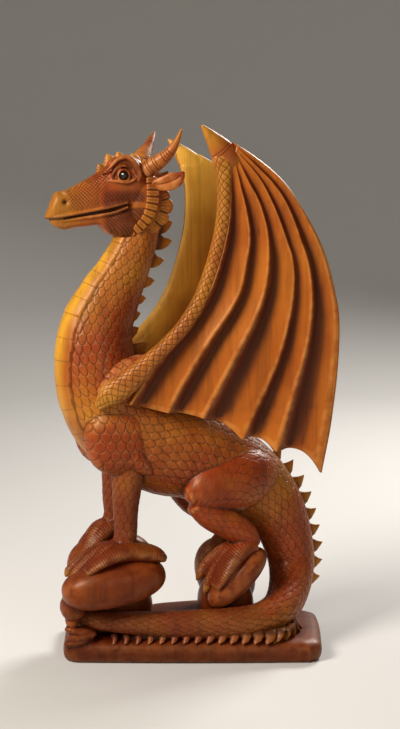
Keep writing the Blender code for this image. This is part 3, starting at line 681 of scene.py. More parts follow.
def trunk_shape(u, turn, run):
    """Each plate rises towards its lower end, and a groove runs beside them all."""
    mask, seam = plate_edge(run, turn)
    index = np.clip(np.searchsorted(PLATE_ENDS, run), 1, len(PLATE_ENDS) - 1)
    at = (run - PLATE_ENDS[index - 1]) / (PLATE_ENDS[index] - PLATE_ENDS[index - 1])
    return mask * (0.5 + 0.7 * np.clip(at, 0, 1)) - 0.9 * seam


def fine_cut(away):
    """Rows or columns that hold one thin cut only, where the distance in millimetres is nought."""
    return np.clip(away / 2.4, -0.45, 0.45)


print("plates", len(PLATE_ENDS) - 1)


# %% The trunk, from the nape to the tip of the tail
LONGEST_RUN = 1200
SCALE_AT = (0, 60, 200, 320, 520, 640, 760, 900, 1100)
SCALE_SIZE = (6.4, 7.2, 8.6, 9.2, 7.6, 6.0, 4.8, 4.0, 3.4)
TRUNK_KEYS = ((50, 436, 15, 15), (52, 420, 17, 16), (55, 406, 18.5, 17), (60, 391, 20.5, 18),
              (70, 369, 23.5, 20), (84.5, 342, 29, 23), (96, 315, 34, 27), (98.5, 291, 37, 31),
              (94.5, 265, 41, 36), (82, 238, 45, 41), (59, 217, 49, 44), (30, 203, 51, 45),
              (0, 192, 47, 43), (-28, 176, 43, 39), (-57, 158, 36, 33), (-79, 133, 30, 28),
              (-92, 104, 25.5, 24))
TAIL_ROOT = (-97, 2, 78, 23, 22)
TAIL_KEYS = ((91, 5, 55, 20.0), (80, -20, 42, 17.5), (60, -37, 36.5, 15.5), (34, -44, 35, 14.5),
             (0, -46, 34.5, 13.5), (-35, -48, 35.5, 12.0), (-70, -49, 37, 10.0), (-98, -46, 39, 8.6),
             (-115, -34, 40, 7.4), (-123, -10, 41, 5.8), (-122, 8, 41, 3.0))


def trunk():
    """The sweep from neck to tail tip; its tail keys are given on the slab's axes."""
    keys = [(f, 0, z, h, w) for f, z, h, w in TRUNK_KEYS] + [TAIL_ROOT]
    for x, y, z, r in TAIL_KEYS:
        keys.append((*from_slab(x, y), z, r, r))
    part = tube(keys, 760, 150, shape=trunk_shape)
    run, angle = part["run"], part["angle"]
    each_mm = np.arange(LONGEST_RUN)
    pitch = np.interp(each_mm, SCALE_AT, SCALE_SIZE)
    steps = np.concatenate(([0.0], np.cumsum(1 / pitch)))
    part["row"] = np.interp(run, np.arange(LONGEST_RUN + 1), steps)
    part["col"] = angle * part["size"] / (0.92 * np.interp(run, each_mm, pitch))
    mask = plate_edge(run, angle)[0]
    part["scale"] = (1 - mask) * (1 - 0.5 * smooth(900, 1000, run))
    off = (math.pi - angle) / plate_half(run)
    # Plates are paler gold wood; extra gold at the chest front facing the key is painted light. Tail
    # darkening is painted shade.
    bright = smooth(0.9, 0.3, off) * (0.1 + 0.9 * smooth(25, 95, run) * smooth(215, 165, run))
    part["gold"] = 0.14 + mask * (0.1 + 0.76 * bright) - 0.12 * smooth(420, 600, run)
    part["stain"] = 0.3 * smooth(640, 800, run) * (1 - mask)
    part["row"] += 0.14 * np.sin(5 * angle + 0.045 * run) * (1 - mask)
    part["col"] += 0.12 * np.sin(0.083 * run + 2 * angle) * (1 - mask)
    ends = PLATE_ENDS[np.abs(run[:, None] - PLATE_ENDS).argmin(axis=1)]
    beside = (np.abs(angle - math.pi) - plate_half(run)) * part["size"]
    part["row"] = np.where(mask > 0.5, fine_cut(run - ends), part["row"])
    part["col"] = np.where(mask > 0.5, fine_cut(beside), part["col"])
    part["line"] = mask * 0.9
    part["cross"] = mask * 0.9
    print("trunk length", round(float(run.max())), "mm")
    return part


TRUNK = trunk()

# %% [markdown]
# ## Legs and feet
# The forelegs stand straight on the boulders under square shoulders with a spike at the elbow, and the
# hind legs are folded. Toes and claws are cones that start inside the foot, so that the remesh can melt
# them into it.

# %% Feet, toes and claws
TOE_LINES = 2.4
LEG_SPREAD = 24.0
THIGH_SPREAD = 33.0


def hanging_scales(part, pitch, lean=0.35):
    """Scales on a shoulder or thigh, laid out on the side view so that their free edges hang."""
    f, s, z = part["verts"].T
    part["row"] = (400 - z) / pitch
    part["col"] = (f + lean * np.abs(s)) / pitch
    part["scale"] = np.ones(len(f))
    return part


def foot(parts, ankle, spread, toes, side, claw):
    """A broad foot: a flat mass from the ankle, long toes lying on it and their claws."""
    f, s, z = ankle
    mass = tube([(a, (s + b) * side, c, h, w) for a, b, c, h, w in spread], 80, 70)
    parts.append(with_lines(mass, TOE_LINES, 1.2))
    for tf, ts, tz, r in toes:
        path = [(f, s, z), (f + (tf - f) * 0.35, s + (ts - s) * 0.5, z - (z - tz) * 0.1),
                (f + (tf - f) * 0.78, ts, z - (z - tz) * 0.62), (tf, ts, tz)]
        toe = cone([(a, b * side, c) for a, b, c in path], (r + 1.5, r + 1.2, r, r - 2.0), 70, 44)
        parts.append(with_lines(toe, TOE_LINES, 1.2))
        tip = [(tf + claw[0] * t, ts * side, tz + claw[1] * t) for t in (-0.4, 0.5, 1.0)]
        nail = cone(tip, (r - 1.6, r - 3.2, 1.0), 24, 26)
        nail["gold"] += 0.5
        parts.append(nail)


print("feet ready")


# %% Shoulders, forelegs and hind legs
def legs():
    """Shoulder, elbow spike, foreleg, thigh, shank and feet of both sides."""
    parts = []
    for side in (1, -1):
        up = 0 if side > 0 else 14
        s = LEG_SPREAD * side
        parts.append(hanging_scales(lump((81, 26 * side, 213), (33, 20, 34), -10, 60, 90, 2.3), 9.0))
        parts.append(hanging_scales(cone([(68, 32 * side, 196), (58, 34 * side, 186), (50, 34 * side, 178)],
                                         (13, 8, 1.2)), 9.0))
        parts.append(with_scales(tube([(76, s, 206, 24, 17), (73, s, 188, 17.5, 15),
                                       (73.5, s, 168, 14.2, 13), (75, s, 145, 12, 11.5),
                                       (75, s, 124 + up / 2, 10.8, 10.8),
                                       (77, s, 106 + up, 11.5, 11.5)],
                                      110, 80), 7.4))
        if side > 0:
            spread = [(39.5, 3, 97, 4, 9), (46, 4, 100.5, 7, 13), (58, 3, 103.4, 8.8, 17),
                      (74, 2, 105.6, 9.6, 18), (90, 3, 103.6, 8.6, 20), (105, 4, 97, 6.6, 20),
                      (116, 4, 89, 4.4, 16)]
            foot(parts, (80, 26, 108), spread, ((128, 12, 85, 6.4), (127, 24, 80.5, 6.6),
                                                (120, 37, 78, 6.6)), 1, (3, -5))
        else:
            spread = [(70, 0, 121, 7, 12), (80, 0, 117.5, 10, 15), (92, 0, 109, 10.5, 19),
                      (102, 0, 98, 10, 20), (108, 0, 87, 8, 18)]
            foot(parts, (80, 24, 120), spread,
                 ((113, 12, 80, 6.2), (115, 24, 77, 6.2), (111, 36, 76, 6.2)), -1, (1, -6))
        hip = [(17, 36 * side, 156, 9, 9), (6, 35 * side, 160, 19, 15), (-16, 31 * side, 166, 26, 18),
               (-40, 24 * side, 168, 30, 20), (-58, 16 * side, 162, 26, 18),
               (-70, 10 * side, 152, 14, 12)]
        thigh = with_scales(tube(hip, 110, 110), 8.2)
        f, _, z = thigh["verts"].T
        thigh["scale"] = 0.75 - 0.6 * smooth(-38, -8, f) * smooth(150, 166, z)
        parts.append(thigh)
        t = THIGH_SPREAD * side
        parts.append(with_scales(tube([(9, t, 150, 12, 12), (-6, t, 137, 14.5, 13),
                                       (-24, t, 126, 14, 12.5), (-40, t, 115, 12, 11),
                                       (-46, t, 104, 10, 10)], 70, 70), 7.0, 0.6))
        back = 0 if side > 0 else -12
        spread = [(-50 + back, 0, 104, 7, 9), (-38 + back, 1, 103, 10, 13), (-26 + back, 2, 94, 9, 17),
                  (-15 + back, 3, 80, 7, 18), (-8 + back, 3, 68, 4, 15)]
        toes = ((2 + back, 20, 76, 6.0), (-3 + back, 29, 65, 6.2), (-10 + back, 38, 61, 6.2),
                (-18 + back, 48, 66, 5.8))
        foot(parts, (-38 + back, 35, 104), spread, toes, side, (3, -6))
    return parts


BODY_VOXEL = 1.3
body_mesh, body = melted("body", [TRUNK] + legs(), BODY_VOXEL)
f, s, z = body["verts"].T
# Painted shade: the forelegs, the lower chest and the hind feet are darkened towards the ground.
low = smooth(200, 150, z) * np.maximum(smooth(40, 60, f), smooth(118, 96, z) * smooth(-56, -44, f))
darker(body, 0.46 * low)
print("body points", len(body["verts"]))

# %% [markdown]
# The skin of the body is too dense for one piece, so it is cut in two on an upright plane in the dark
# valley behind the shoulder. Both halves come from the same skin, so their cut edges meet point for
# point, and each is closed.

# %% Cut the body in the valley behind the shoulder
body_piece = finish_skin("body", body_mesh, body, SCALED)
VALLEY = 50.0


def half(thing, name, keep):
    """The part of a piece on one side of the valley, closed on the cut."""
    mesh = bmesh.new()
    mesh.from_mesh(thing.data)
    point = Vector(on_slab((VALLEY, 0, 0)))
    across = Vector(on_slab((1, 0, 0)) * 1000) * keep
    everything = mesh.verts[:] + mesh.edges[:] + mesh.faces[:]
    bmesh.ops.bisect_plane(mesh, geom=everything, plane_co=point, plane_no=across, clear_inner=True)
    edge = [e for e in mesh.edges if e.is_boundary]
    for e in edge:
        e.smooth = False
    bmesh.ops.holes_fill(mesh, edges=edge, sides=0)
    bmesh.ops.triangulate(mesh, faces=[f for f in mesh.faces if len(f.verts) > 4])
    data = bpy.data.meshes.new(name)
    mesh.to_mesh(data)
    mesh.free()
    return data


front = half(body_piece, "neck_and_forelegs", 1)
rear = half(body_piece, "rump_and_tail", -1)
PIECES.remove(body_piece)
bpy.data.objects.remove(body_piece)
for data in (front, rear):
    dress(data.name, data, SCALED)

# %% [markdown]
# ## The head
# Skull, muzzle, jaw, brows and lids are melted together at a finer pitch than the body. The mouth stays
# open as a dark slit because the jaw is a form of its own below the muzzle, and painted shade darkens it
# more.

# %% Where the eye sits, and the runs of muzzle, jaw and crest
EYE = (74.0, 19.5, 456.5)
BEAD_SEAT = 4.35
UPPER = ((143.6, 418.6, 2.0, 5.0), (141.2, 421.1, 4.8, 8.0), (138.4, 424.7, 8.4, 10.5),
         (134.7, 428.8, 12.1, 12.0), (130.0, 429.9, 12.3, 12.8), (124.3, 431.2, 12.4, 13.0),
         (111.2, 435.7, 14.3, 12.8), (97.1, 441.0, 16.8, 14.5), (87.6, 444.6, 18.7, 16.5),
         (78.9, 447.8, 20.1, 18.5), (68.5, 449.0, 20.6, 19.5), (59, 448.0, 20.8, 20.0),
         (49.4, 446.0, 18, 17), (38, 442, 11, 11))
JAW = ((139.5, 413.8, 0.9, 4), (135.8, 412.8, 2.6, 7.5), (132.1, 411.8, 4.0, 9.5),
       (126.5, 411.3, 5.0, 10.5), (119.0, 412.5, 4.7, 11), (106.7, 413.9, 5.0, 11.5),
       (94.4, 415.2, 5.5, 13), (88.8, 413.8, 7.8, 14.5), (83.0, 412.0, 10.7, 16),
       (75.4, 412.1, 12.8, 17.5), (68.7, 413.4, 14.2, 17.5), (59.2, 415.5, 15.3, 15.5))
KNOBS = ((92.1, 467.9, 6.0), (84.3, 476.8, 6.2), (74.3, 478.9, 5.6), (60.7, 477.6, 6.2), (50, 472, 5.5))
print("the muzzle has", len(UPPER), "stations and the jaw", len(JAW))

# %% Brow arch, upper lid, lower lid, nostril rim, upper lip and lower lip
HEAD_RIDGES = (
    (((94.0, 12.5, 457.5), (88.5, 15.5, 461.0), (82.5, 17.0, 467.3), (77.0, 17.4, 472.0),
      (70.6, 17.8, 473.0), (65.0, 18.4, 469.5), (61.0, 19.4, 462.5), (59.3, 20.4, 456.0),
      (60.5, 20.8, 451.5)), (0.6, 1.4, 2.0, 2.4, 2.6, 3.1, 3.3, 2.7, 1.2)),
    (((84.8, 16.8, 453.0), (83.2, 18.0, 458.5), (80.0, 18.9, 463.0), (75.5, 19.4, 465.2),
      (70.5, 19.6, 464.4)), (0.8, 1.3, 1.5, 1.3, 0.7)),
    (((88.3, 15.5, 451.8), (79.5, 19.2, 451.2), (71.0, 20.4, 450.3), (65.0, 20.8, 452.4),
      (61.5, 20.8, 455.4)), (0.9, 1.4, 1.6, 1.4, 0.8)),
    (((130.5, 7.0, 440.5), (126.5, 9.0, 440), (123, 10.6, 436.5), (122.2, 11.2, 431.5)),
     (1.2, 2.2, 2.4, 1.0)),
    (((142.5, 3.5, 418.3), (138, 8.5, 418.2), (132.2, 11.3, 418.7), (122.9, 12.4, 420.9),
      (108.9, 12.8, 423.4), (94.8, 14.4, 426.3), (80.7, 17.2, 429.6),
      (69.5, 18.6, 431.8)), (1.2, 1.7, 1.9, 1.9, 1.9, 2.0, 2.0, 1.0)),
    (((139.2, 4.0, 414.6), (132.3, 9.0, 414.8), (123.0, 10.4, 415.9), (109.0, 11.4, 417.9),
      (94.9, 13.2, 419.8), (80.8, 16.4, 422.6),
      (69.5, 18.3, 427.6)), (1.2, 1.5, 1.6, 1.6, 1.6, 1.6, 1.0)),
)
print("ridges a side", len(HEAD_RIDGES))


# %% Skull, muzzle and jaw
def head():
    """All the forms of the head that are melted together."""
    parts = []
    parts.append(tube([(f, 0, z, h, w) for f, z, h, w in UPPER], 170, 120, square=2.7, under=4.5,
                      upright=True))
    parts.append(tube([(f, 0, z, h, w) for f, z, h, w in JAW], 150, 100, square=4.0, under=2.3))
    rim = np.linspace(0, 2 * math.pi, 25)
    for side in (1, -1):
        ring = [(EYE[0] + 5.3 * math.cos(a), (EYE[1] + 1.0) * side,
                 EYE[2] + 5.3 * math.sin(a)) for a in rim]
        parts.append(cone(ring, np.full(25, 0.85), 90, 16))
    parts.append(tube([(138, 0, 416, 3, 3), (128, 0, 417, 4, 7), (110, 0, 419.5, 4.5, 7.5),
                       (92, 0, 423.5, 5, 9), (74, 0, 428, 6, 12), (60, 0, 430, 6, 12)], 40, 40))
    for side in (1, -1):
        parts.append(lump((68, 8.5 * side, 410), (18, 11, 12.5), 8))
        parts.append(lump((50, 9 * side, 431), (18, 14, 25)))
        parts.append(lump((71, 8.5 * side, 466), (17, 9.5, 8.5)))
        parts.append(lump((EYE[0], (EYE[1] - 4.6) * side, EYE[2]), (7.4, 6.6, 6.6)))
        for path, radii in HEAD_RIDGES:
            parts.append(cone([(f, s * side, z) for f, s, z in path], radii, 90, 30))
    for f, tip, r in KNOBS:
        knob = tube([(f - 2, 0, tip - 16, r * 1.2, r * 0.8), (f - 1.2, 0, tip - 7, r * 0.95, r * 0.62),
                     (f + 0.2, 0, tip - 3.4, r * 0.6, r * 0.42),
                     (f + 1.4, 0, tip - 0.5, r * 0.14, r * 0.16)], 40, 40)
        knob["gold"] += 0.25
        parts.append(knob)
    return parts


HEAD_VOXEL = 0.8
head_mesh, skull = melted("head", head(), HEAD_VOXEL)
print("head points", len(skull["verts"]))

# %% Hatching, stain, painted shade and the seat of the bead
HATCH = 2.4
LIP_LINE = ((69, 81, 95, 109, 123, 143), (434, 432, 428.5, 425.5, 423, 420.5))
SLIT_LINE = ((69, 81, 95, 109, 123, 143), (430, 426.4, 423.2, 420.8, 418.4, 416.6))
f, s, z = skull["verts"].T
side = np.abs(s)
muzzle = smooth(84, 91, f) * smooth(128, 120, f) * smooth(0, 3, z - np.interp(f, *LIP_LINE))
skull["row"] = (f * 0.75 + z * 0.66) / HATCH
skull["col"] = (f * 0.75 - z * 0.66 + side * 0.4) / HATCH
weave = smooth(-0.25, 0.25, np.sin(f * 0.21 + z * 0.13) + 0.6 * np.sin(f * 0.09 - z * 0.23 + 1.0))
skull["line"] = 1.3 * muzzle * (0.35 + 0.65 * weave)
skull["cross"] = 1.3 * muzzle * (1 - 0.65 * weave)
cheek = smooth(96, 88, f) * smooth(50, 58, f) * smooth(446, 438, z) * smooth(8, 12, side)
cheek *= smooth(0, 2.5, np.abs(z - np.interp(f, (69, 95, 140), (429.5, 423, 416.5))) - 1.5)
skull["cross"] = np.maximum(skull["cross"], 1.2 * cheek)
chin = smooth(112, 118, f) * smooth(138, 132, f) * smooth(413, 411, z)
skull["line"] = np.maximum(skull["line"], 0.7 * chin)
skull["gold"] = np.maximum(skull["gold"], 0.12 + 0.22 * smooth(116, 134, f)) - 0.1 * cheek
mouth = smooth(2.2, 0.9, np.abs(z - np.interp(f, *SLIT_LINE))) * smooth(64, 70, f)
from_eye = np.hypot(f - 73, z - 459)
socket = smooth(6.5, 8, from_eye) * smooth(13.5, 11.5, from_eye)
socket = socket * smooth(452, 456, z) * smooth(13, 15, side)
skull["stain"] = 0.3 * smooth(112, 132, f)
# The mouth slit and the ring round the eye are darkened as painted shade; the cheek holds stain in its
# hatching.
for amount in (0.72 * cheek, 0.9 * mouth, 0.55 * socket):
    darker(skull, amount)
points = skull["verts"].copy()
reach = BEAD_SEAT**2 - (f - EYE[0]) ** 2 - (z - EYE[2]) ** 2
seat = EYE[1] - np.sqrt(np.maximum(reach, 0))
points[:, 1] = np.where((reach > 0) & (side > seat) & (side > 12), np.sign(s) * seat, points[:, 1])
pit = np.exp(-((f - 127) ** 2 + (z - 432) ** 2) / 6.5) * smooth(6, 10, side)
points[:, 1] -= np.sign(s) * 3.2 * pit
place(head_mesh, points)
finish_skin("head", head_mesh, skull, SCALED, 0.35)

# %% [markdown]
# ## Horns, ears and gill frills
# These stand out from the head with sharp edges, so they are swept directly and not melted. Each horn
# carries pairs of ring cuts, and each frill is a thick leaf with a scalloped edge and a cut at every
# scallop.

# %% Horns, ears and frills
def ornaments():
    """Two horns, two ears and two frills a side."""
    parts = []
    near = [(51, 12, 460.5), (46, 16, 465), (40, 21, 470), (34, 26, 475.5), (29.5, 30, 482),
            (26.5, 33.5, 489), (23.5, 37, 498.3)]
    far = [(54, -9, 463), (50, -12, 470.5), (46.5, -16, 476.5), (41.5, -21, 483), (36.5, -27, 491),
           (32.5, -32, 497.2)]
    for run, radii in ((near, (8.4, 8.0, 6.9, 5.6, 4.1, 2.7, 0.9)), (far, (9.0, 9.0, 7.4, 5.2, 3.0, 0.9))):
        horn = cone(run, radii, 120, 44)
        ring = horn["run"]
        horn["row"] = ring / 2.6
        pair = np.zeros(len(ring))
        for at in (6, 15, 24, 30):
            pair = np.maximum(pair, smooth(2.8, 2.0, np.abs(ring - at)))
        horn["line"] = pair * 1.5
        horn["gold"] = 0.1 + 0.3 * smooth(26, 48, ring)
        parts.append(horn)
    ear = [(46, 20, 448, 4.5, 3.5), (39.5, 25, 448.7, 6.4, 4.0), (32.3, 28, 450.4, 7.8, 4.0),
           (26, 29.6, 453.4, 7.0, 3.2), (22, 30.6, 456.8, 3.8, 2.0), (19.8, 31.2, 460.2, 0.8, 0.8)]
    ear = tube(ear, 60, 48, shape=lambda u, turn, run: (
        -5.4 * np.clip(np.sin(turn), 0, 1) ** 1.5 * np.sin(math.pi * np.clip(u * 1.15, 0, 1))))
    ear["gold"] += 0.15
    parts += [ear, mirror(ear)]
    front = [(47.9, 19, 455, 5.0, 2.0), (47.4, 22, 443.1, 5.6, 2.2), (48.4, 23.5, 430.3, 5.6, 2.2),
             (51.8, 23, 419.3, 5.2, 2.2), (58.5, 20, 410.2, 4.4, 2.0), (67, 14.5, 403.3, 3.0, 1.8),
             (73.6, 9, 400.2, 0.9, 0.9)]
    rear = [(40, 15, 444, 4.0, 2.0), (35, 17, 433.8, 6.8, 2.4), (35.6, 18, 424.6, 6.8, 2.4),
            (39.4, 18, 416.3, 6.2, 2.4), (46.1, 15.5, 408.1, 5.0, 2.0), (53.8, 10, 400.7, 2.0, 1.4)]
    for rim, pitch, deep in ((front, 6.2, 1.7), (rear, 11.5, 2.6)):
        frill = tube(rim, 170, 48, square=3.0, shape=lambda u, turn, run: (
            deep * (np.abs(np.sin(run * math.pi / pitch)) ** 0.6 - 0.6) * smooth(0.3, 0.9, np.cos(turn))
            - 1.2 * np.exp(-((np.mod(run / pitch + 0.5, 1) - 0.5) * pitch / 0.6) ** 2)))
        cuts_at = np.abs(np.mod(frill["run"] / pitch + 0.5, 1) - 0.5) * pitch
        frill["stain"] += 0.75 * smooth(1.3, 0.4, cuts_at)
        frill["row"] = frill["run"] / (pitch / round(pitch / 3.0))
        frill["line"] += 0.45
        frill["gold"] += 0.22
        parts += [frill, mirror(frill)]
    return parts


trim_mesh, trim = direct("horns_ears_and_frills", ornaments())
finish_skin("horns_ears_and_frills", trim_mesh, trim, SCALED, 0.3)

# %% [markdown]
# ## The wings
# Each wing is a thick leaf, smooth inside and fluted outside, with five sharp ridges that fan out from
# the wrist. A flute falls steeply just behind each ridge and rises slowly to the next, which gives the
# dark and light bands; painted shade on each fall and painted light on each rise make them stronger.

# %% The ridges of the wing, its flutes and its scalloped edge
WING_LINES = (
    ((-14, 474), (-15, 452), (-15, 430), (-12, 405), (-6, 380), (4, 352), (22, 320), (42, 298),
     (60, 274), (76, 248)),
    ((-18, 474), (-24, 448), (-31, 418), (-33, 398), (-30, 378), (-24, 350), (-13, 330), (1, 310),
     (14, 289), (28, 265), (41, 239)),
    ((-19, 477), (-31, 452), (-40, 436), (-46, 420), (-50, 402), (-51, 379), (-48, 353), (-38, 323),
     (-25, 298), (-10, 268), (8, 233)),
    ((-20, 479), (-42, 454), (-52, 436), (-61, 416), (-68, 397), (-74, 379), (-75, 349), (-68, 308),
     (-59, 279), (-45, 246), (-29, 212)),
    ((-21, 482), (-40, 464), (-55, 449), (-67, 432), (-76, 412), (-83, 393), (-88, 379), (-93, 346),
     (-90, 304), (-81, 267), (-62, 199)),
    ((-18, 486), (-35, 476), (-52, 464), (-68, 449), (-83, 428), (-103, 392), (-115, 355), (-121, 326),
     (-121, 275), (-116, 225), (-107, 177)),
)
SCALLOPS = (0.0, 0.006, 0.018, 0.022, 0.034)
WING_THICKNESS = 13.0
FLUTE_DEPTH = 8.5
FAR_TIP_DROP = 9.0
print("ridges", len(WING_LINES), "longest", max(len(line) for line in WING_LINES), "points")


# %% The fluted leaf
def wing_sheet(f, u):
    """Side of the wing's face at a forward and up: close to the flank below, spread at the tip."""
    spread = np.clip((u - 240) / 240, 0, 1)
    back = np.clip((60 - f) / 170, 0, 1)
    bulge = 5 * np.sin(math.pi * spread) * (1 - back * 0.4)
    return 50 + 12 * spread + 13 * back * (1 - 0.55 * spread) + bulge


def leaf(steps=22, rows=200):
    """The whole leaf: columns of points from ridge to ridge, then its two faces and its rim."""
    lines = []
    for line in WING_LINES:
        fine = spline([(f, 0, u) for f, u in line], 600)
        run = np.concatenate(([0.0], np.cumsum(np.linalg.norm(np.diff(fine, axis=0), axis=1))))
        lines.append((run / run[-1], fine))
    v = np.linspace(0, 1, rows)
    columns, hollow, gold, stain = [], [], [], []
    last = len(lines) - 2
    for i in range(last + 1):
        for j in range(steps + (i == last)):
            a = j / steps
            t = v * (1 - SCALLOPS[i] * 4 * a * (1 - a))
            ahead, behind = (np.column_stack([np.interp(t, at, fine[:, c]) for c in (0, 2)]) for at,
                             fine in lines[i:i + 2])
            space = np.linalg.norm(ahead - behind, axis=1)
            columns.append(ahead * (1 - a) + behind * a)
            curve = smooth(0, 0.42, a) * (1 - a) ** 0.85 / 0.66
            edge = 2.6 * smooth(0.8, 1.0, a) ** 2 * (i == last)
            hollow.append((curve * np.minimum(FLUTE_DEPTH, 0.3 * space) + edge) * np.clip(v / 0.08, 0, 1))
            # Painted light golds the rise of each flute, and painted shade darkens the fall just behind
            # each ridge.
            gold.append(0.6 - 0.6 * smooth(0.75, 0.1, a) * smooth(0, 0.08, a) * np.clip(v / 0.1, 0, 1))
            stain.append(0.6 * smooth(0.0, 0.1, a) * smooth(0.5, 0.2, a) * np.clip(v / 0.15, 0, 1))
    grid = np.stack(columns, 1)
    f, u = grid[..., 0], grid[..., 1]
    sheet = wing_sheet(f, u)
    wide = grid.shape[1]
    thick = WING_THICKNESS * (1 - 0.28 * np.linspace(0, 1, wide)[None, :])
    outer = np.stack((f, sheet - np.minimum(np.stack(hollow, 1), thick * 0.72), u), -1)
    inner = np.stack((f, sheet - thick, u), -1)
    n = rows * wide
    i = (np.arange(rows - 1)[:, None] * wide + np.arange(wide - 1)[None, :]).ravel()
    halves = [(i, i + 1, i + wide + 1), (i, i + wide + 1, i + wide),
              (n + i, n + i + wide + 1, n + i + 1), (n + i, n + i + wide, n + i + wide + 1)]
    faces = [np.column_stack(h) for h in halves]
    rim = np.concatenate((np.arange(rows) * wide, (rows - 1) * wide + np.arange(1, wide),
                          np.arange(rows - 2, -1, -1) * wide + wide - 1, np.arange(wide - 2, 0, -1)))
    after = np.roll(rim, -1)
    faces += [np.column_stack((rim, n + after, n + rim)), np.column_stack((rim, after, n + after))]
    part = form(np.vstack((outer.reshape(-1, 3), inner.reshape(-1, 3))), np.vstack(faces))
    # The inner face is painted golden as painted light, and darker low down towards the rear as painted
    # shade.
    part["gold"] = np.concatenate((np.stack(gold, 1).ravel(), np.full(n, 0.9)))
    low = smooth(350, 235, u) * smooth(60, -30, f)
    part["stain"] = np.concatenate((np.stack(stain, 1).ravel(), (0.5 * low).ravel()))
    return part


def lowered(part):
    """The far wing's twin, whose tip was carved a little lower."""
    twin = mirror(part)
    verts = twin["verts"]
    verts[:, 2] -= FAR_TIP_DROP * np.clip((verts[:, 2] - 260) / 240, 0, 1)
    return twin


LEAF = leaf()
wing_mesh, wing = direct("near_wing", [LEAF])
finish_skin("near_wing", wing_mesh, wing, WINGED, 0.3)

# %% [markdown]
# The front edge of the wing is a round arm cut with a lattice of small diamonds, and it ends in a smooth
# claw at the wrist. Diamonds are nothing but two sets of slanted lines, so the arm carries one set in its
# rows and the other in its columns.

# %% The scaled arm and the claw
def arms():
    """The near wing's arm, its claw and the scaled root behind the shoulder."""
    run = [(104, 41, 246, 4, 5), (94, 44, 257, 10.5, 9.5), (79, 48, 268, 11, 9.5),
           (64, 51, 282, 8.6, 9), (45, 53.3, 300, 6.4, 8), (27, 55, 319, 6.4, 7.6),
           (12.5, 56.3, 342, 6.2, 7.2), (3, 57.2, 365, 6.2, 7), (-4, 58, 388, 6.2, 7),
           (-9, 58.8, 411, 6.2, 7), (-11, 59.1, 434, 6.4, 7), (-10.5, 59.3, 455, 7, 7),
           (-9, 58.8, 474, 10, 7.2)]
    arm = tube(run, 260, 56, square=2.6)
    around = arm["angle"] * arm["size"]
    arm["row"] = (arm["run"] + around * 1.15) / 7.4
    arm["col"] = (arm["run"] - around * 1.15) / 7.4
    outside = smooth(-3, 2, arm["verts"][:, 1] - np.interp(arm["verts"][:, 2], (246, 342, 480),
                                                           (44, 57, 60)))
    arm["line"] = 0.9 * outside
    arm["cross"] = 0.9 * outside
    arm["gold"] += 0.4
    claw = tube([(-25, 59.5, 463, 5, 4), (-19, 59.5, 469, 10.5, 6.2), (-9, 59.5, 478, 11.5, 7),
                 (-4, 60, 484, 9.5, 6.5), (4, 62, 493, 5.2, 4.5), (11.5, 64, 501, 1.2, 1.2)], 140, 60)
    claw["gold"] = 0.1 + 0.45 * smooth(20, 40, claw["run"])
    claw["row"] = (claw["run"] - 21.5) / 3.0
    claw["line"] = smooth(4.2, 3.4, np.abs(claw["run"] - 23))
    root = tube([(98, 33, 252, 10, 10), (84, 31, 262, 17, 13), (62, 27, 270, 21, 13),
                 (36, 26, 264, 20, 12), (8, 28, 251, 15, 10), (-16, 32, 240, 7, 6)], 80, 60)
    return [arm, claw, hanging_scales(root, 8.6)]


ARMS = arms()
arm_mesh, arm = direct("wing_arms", ARMS + [lowered(ARMS[2])])
finish_skin("wing_arms", arm_mesh, arm, SCALED, 0.5)

# %% [markdown]
# The far wing shows its smooth hollow face, where leaf, arm and claw run into one another without a step.
# They are melted into one skin, golden along the front edge as painted light and browner towards the foot
# of the wing as painted shade.

# %% The far wing as one smooth skin
FAR_WING_VOXEL = 1.3
far_mesh, far = melted("far_wing", [lowered(p) for p in (LEAF, *ARMS[:2])], FAR_WING_VOXEL, 4)
f, s, z = far["verts"].T
inward = smooth(60, 54, -s)
edge_line = np.interp(z, (245, 270, 310, 345, 380, 430, 470), (78, 60, 34, 12, 0, -8, -6))
# Painted light: the inner face is golden, most along the front edge. Painted shade: darker towards the
# wing's foot.
far["gold"] = np.where(inward > 0.5, 0.6 + 0.4 * smooth(26, 6, edge_line - f), 0.4 * far["gold"])
far["stain"] = np.maximum(far["stain"] * (1 - inward), 0.4 * smooth(330, 250, z))
far["line"] *= 1 - inward
far["cross"] *= 1 - inward
finish_skin("far_wing", far_mesh, far, LIT, 0.35)

# %% [markdown]
# ## Boulders and slab
# The feet stand on rounded stones that grow from the slab, and the slab has a wavy rounded edge. The
# stones are melted together with the slab, with a ribbed bulge, a small golden knob and three leaf folds
# at its left end.

# %% Stones, folds and slab
SLAB_LENGTH = 250.0
SLAB_DEPTH = 122.0
SLAB_TOP = 21.0
SLAB_CORNER = 20.0
SLAB_SHIFT = 3.5
SLAB_EDGE = ((0.0, 4.0), (2.5, 1.6), (7.0, 0.4), (13.0, 0.0), (17.0, 0.8), (20.4, 3.2), (22.6, 7.5),
             (23.6, 14.0))
GROUND_VOXEL = 1.7


def stone(x, y, z, radii, tilt=0.0, rings=48, around=72, power=2.0):
    """A lump placed on the slab's own axes."""
    return lump((*from_slab(x, y), z), radii, tilt, rings, around, power)


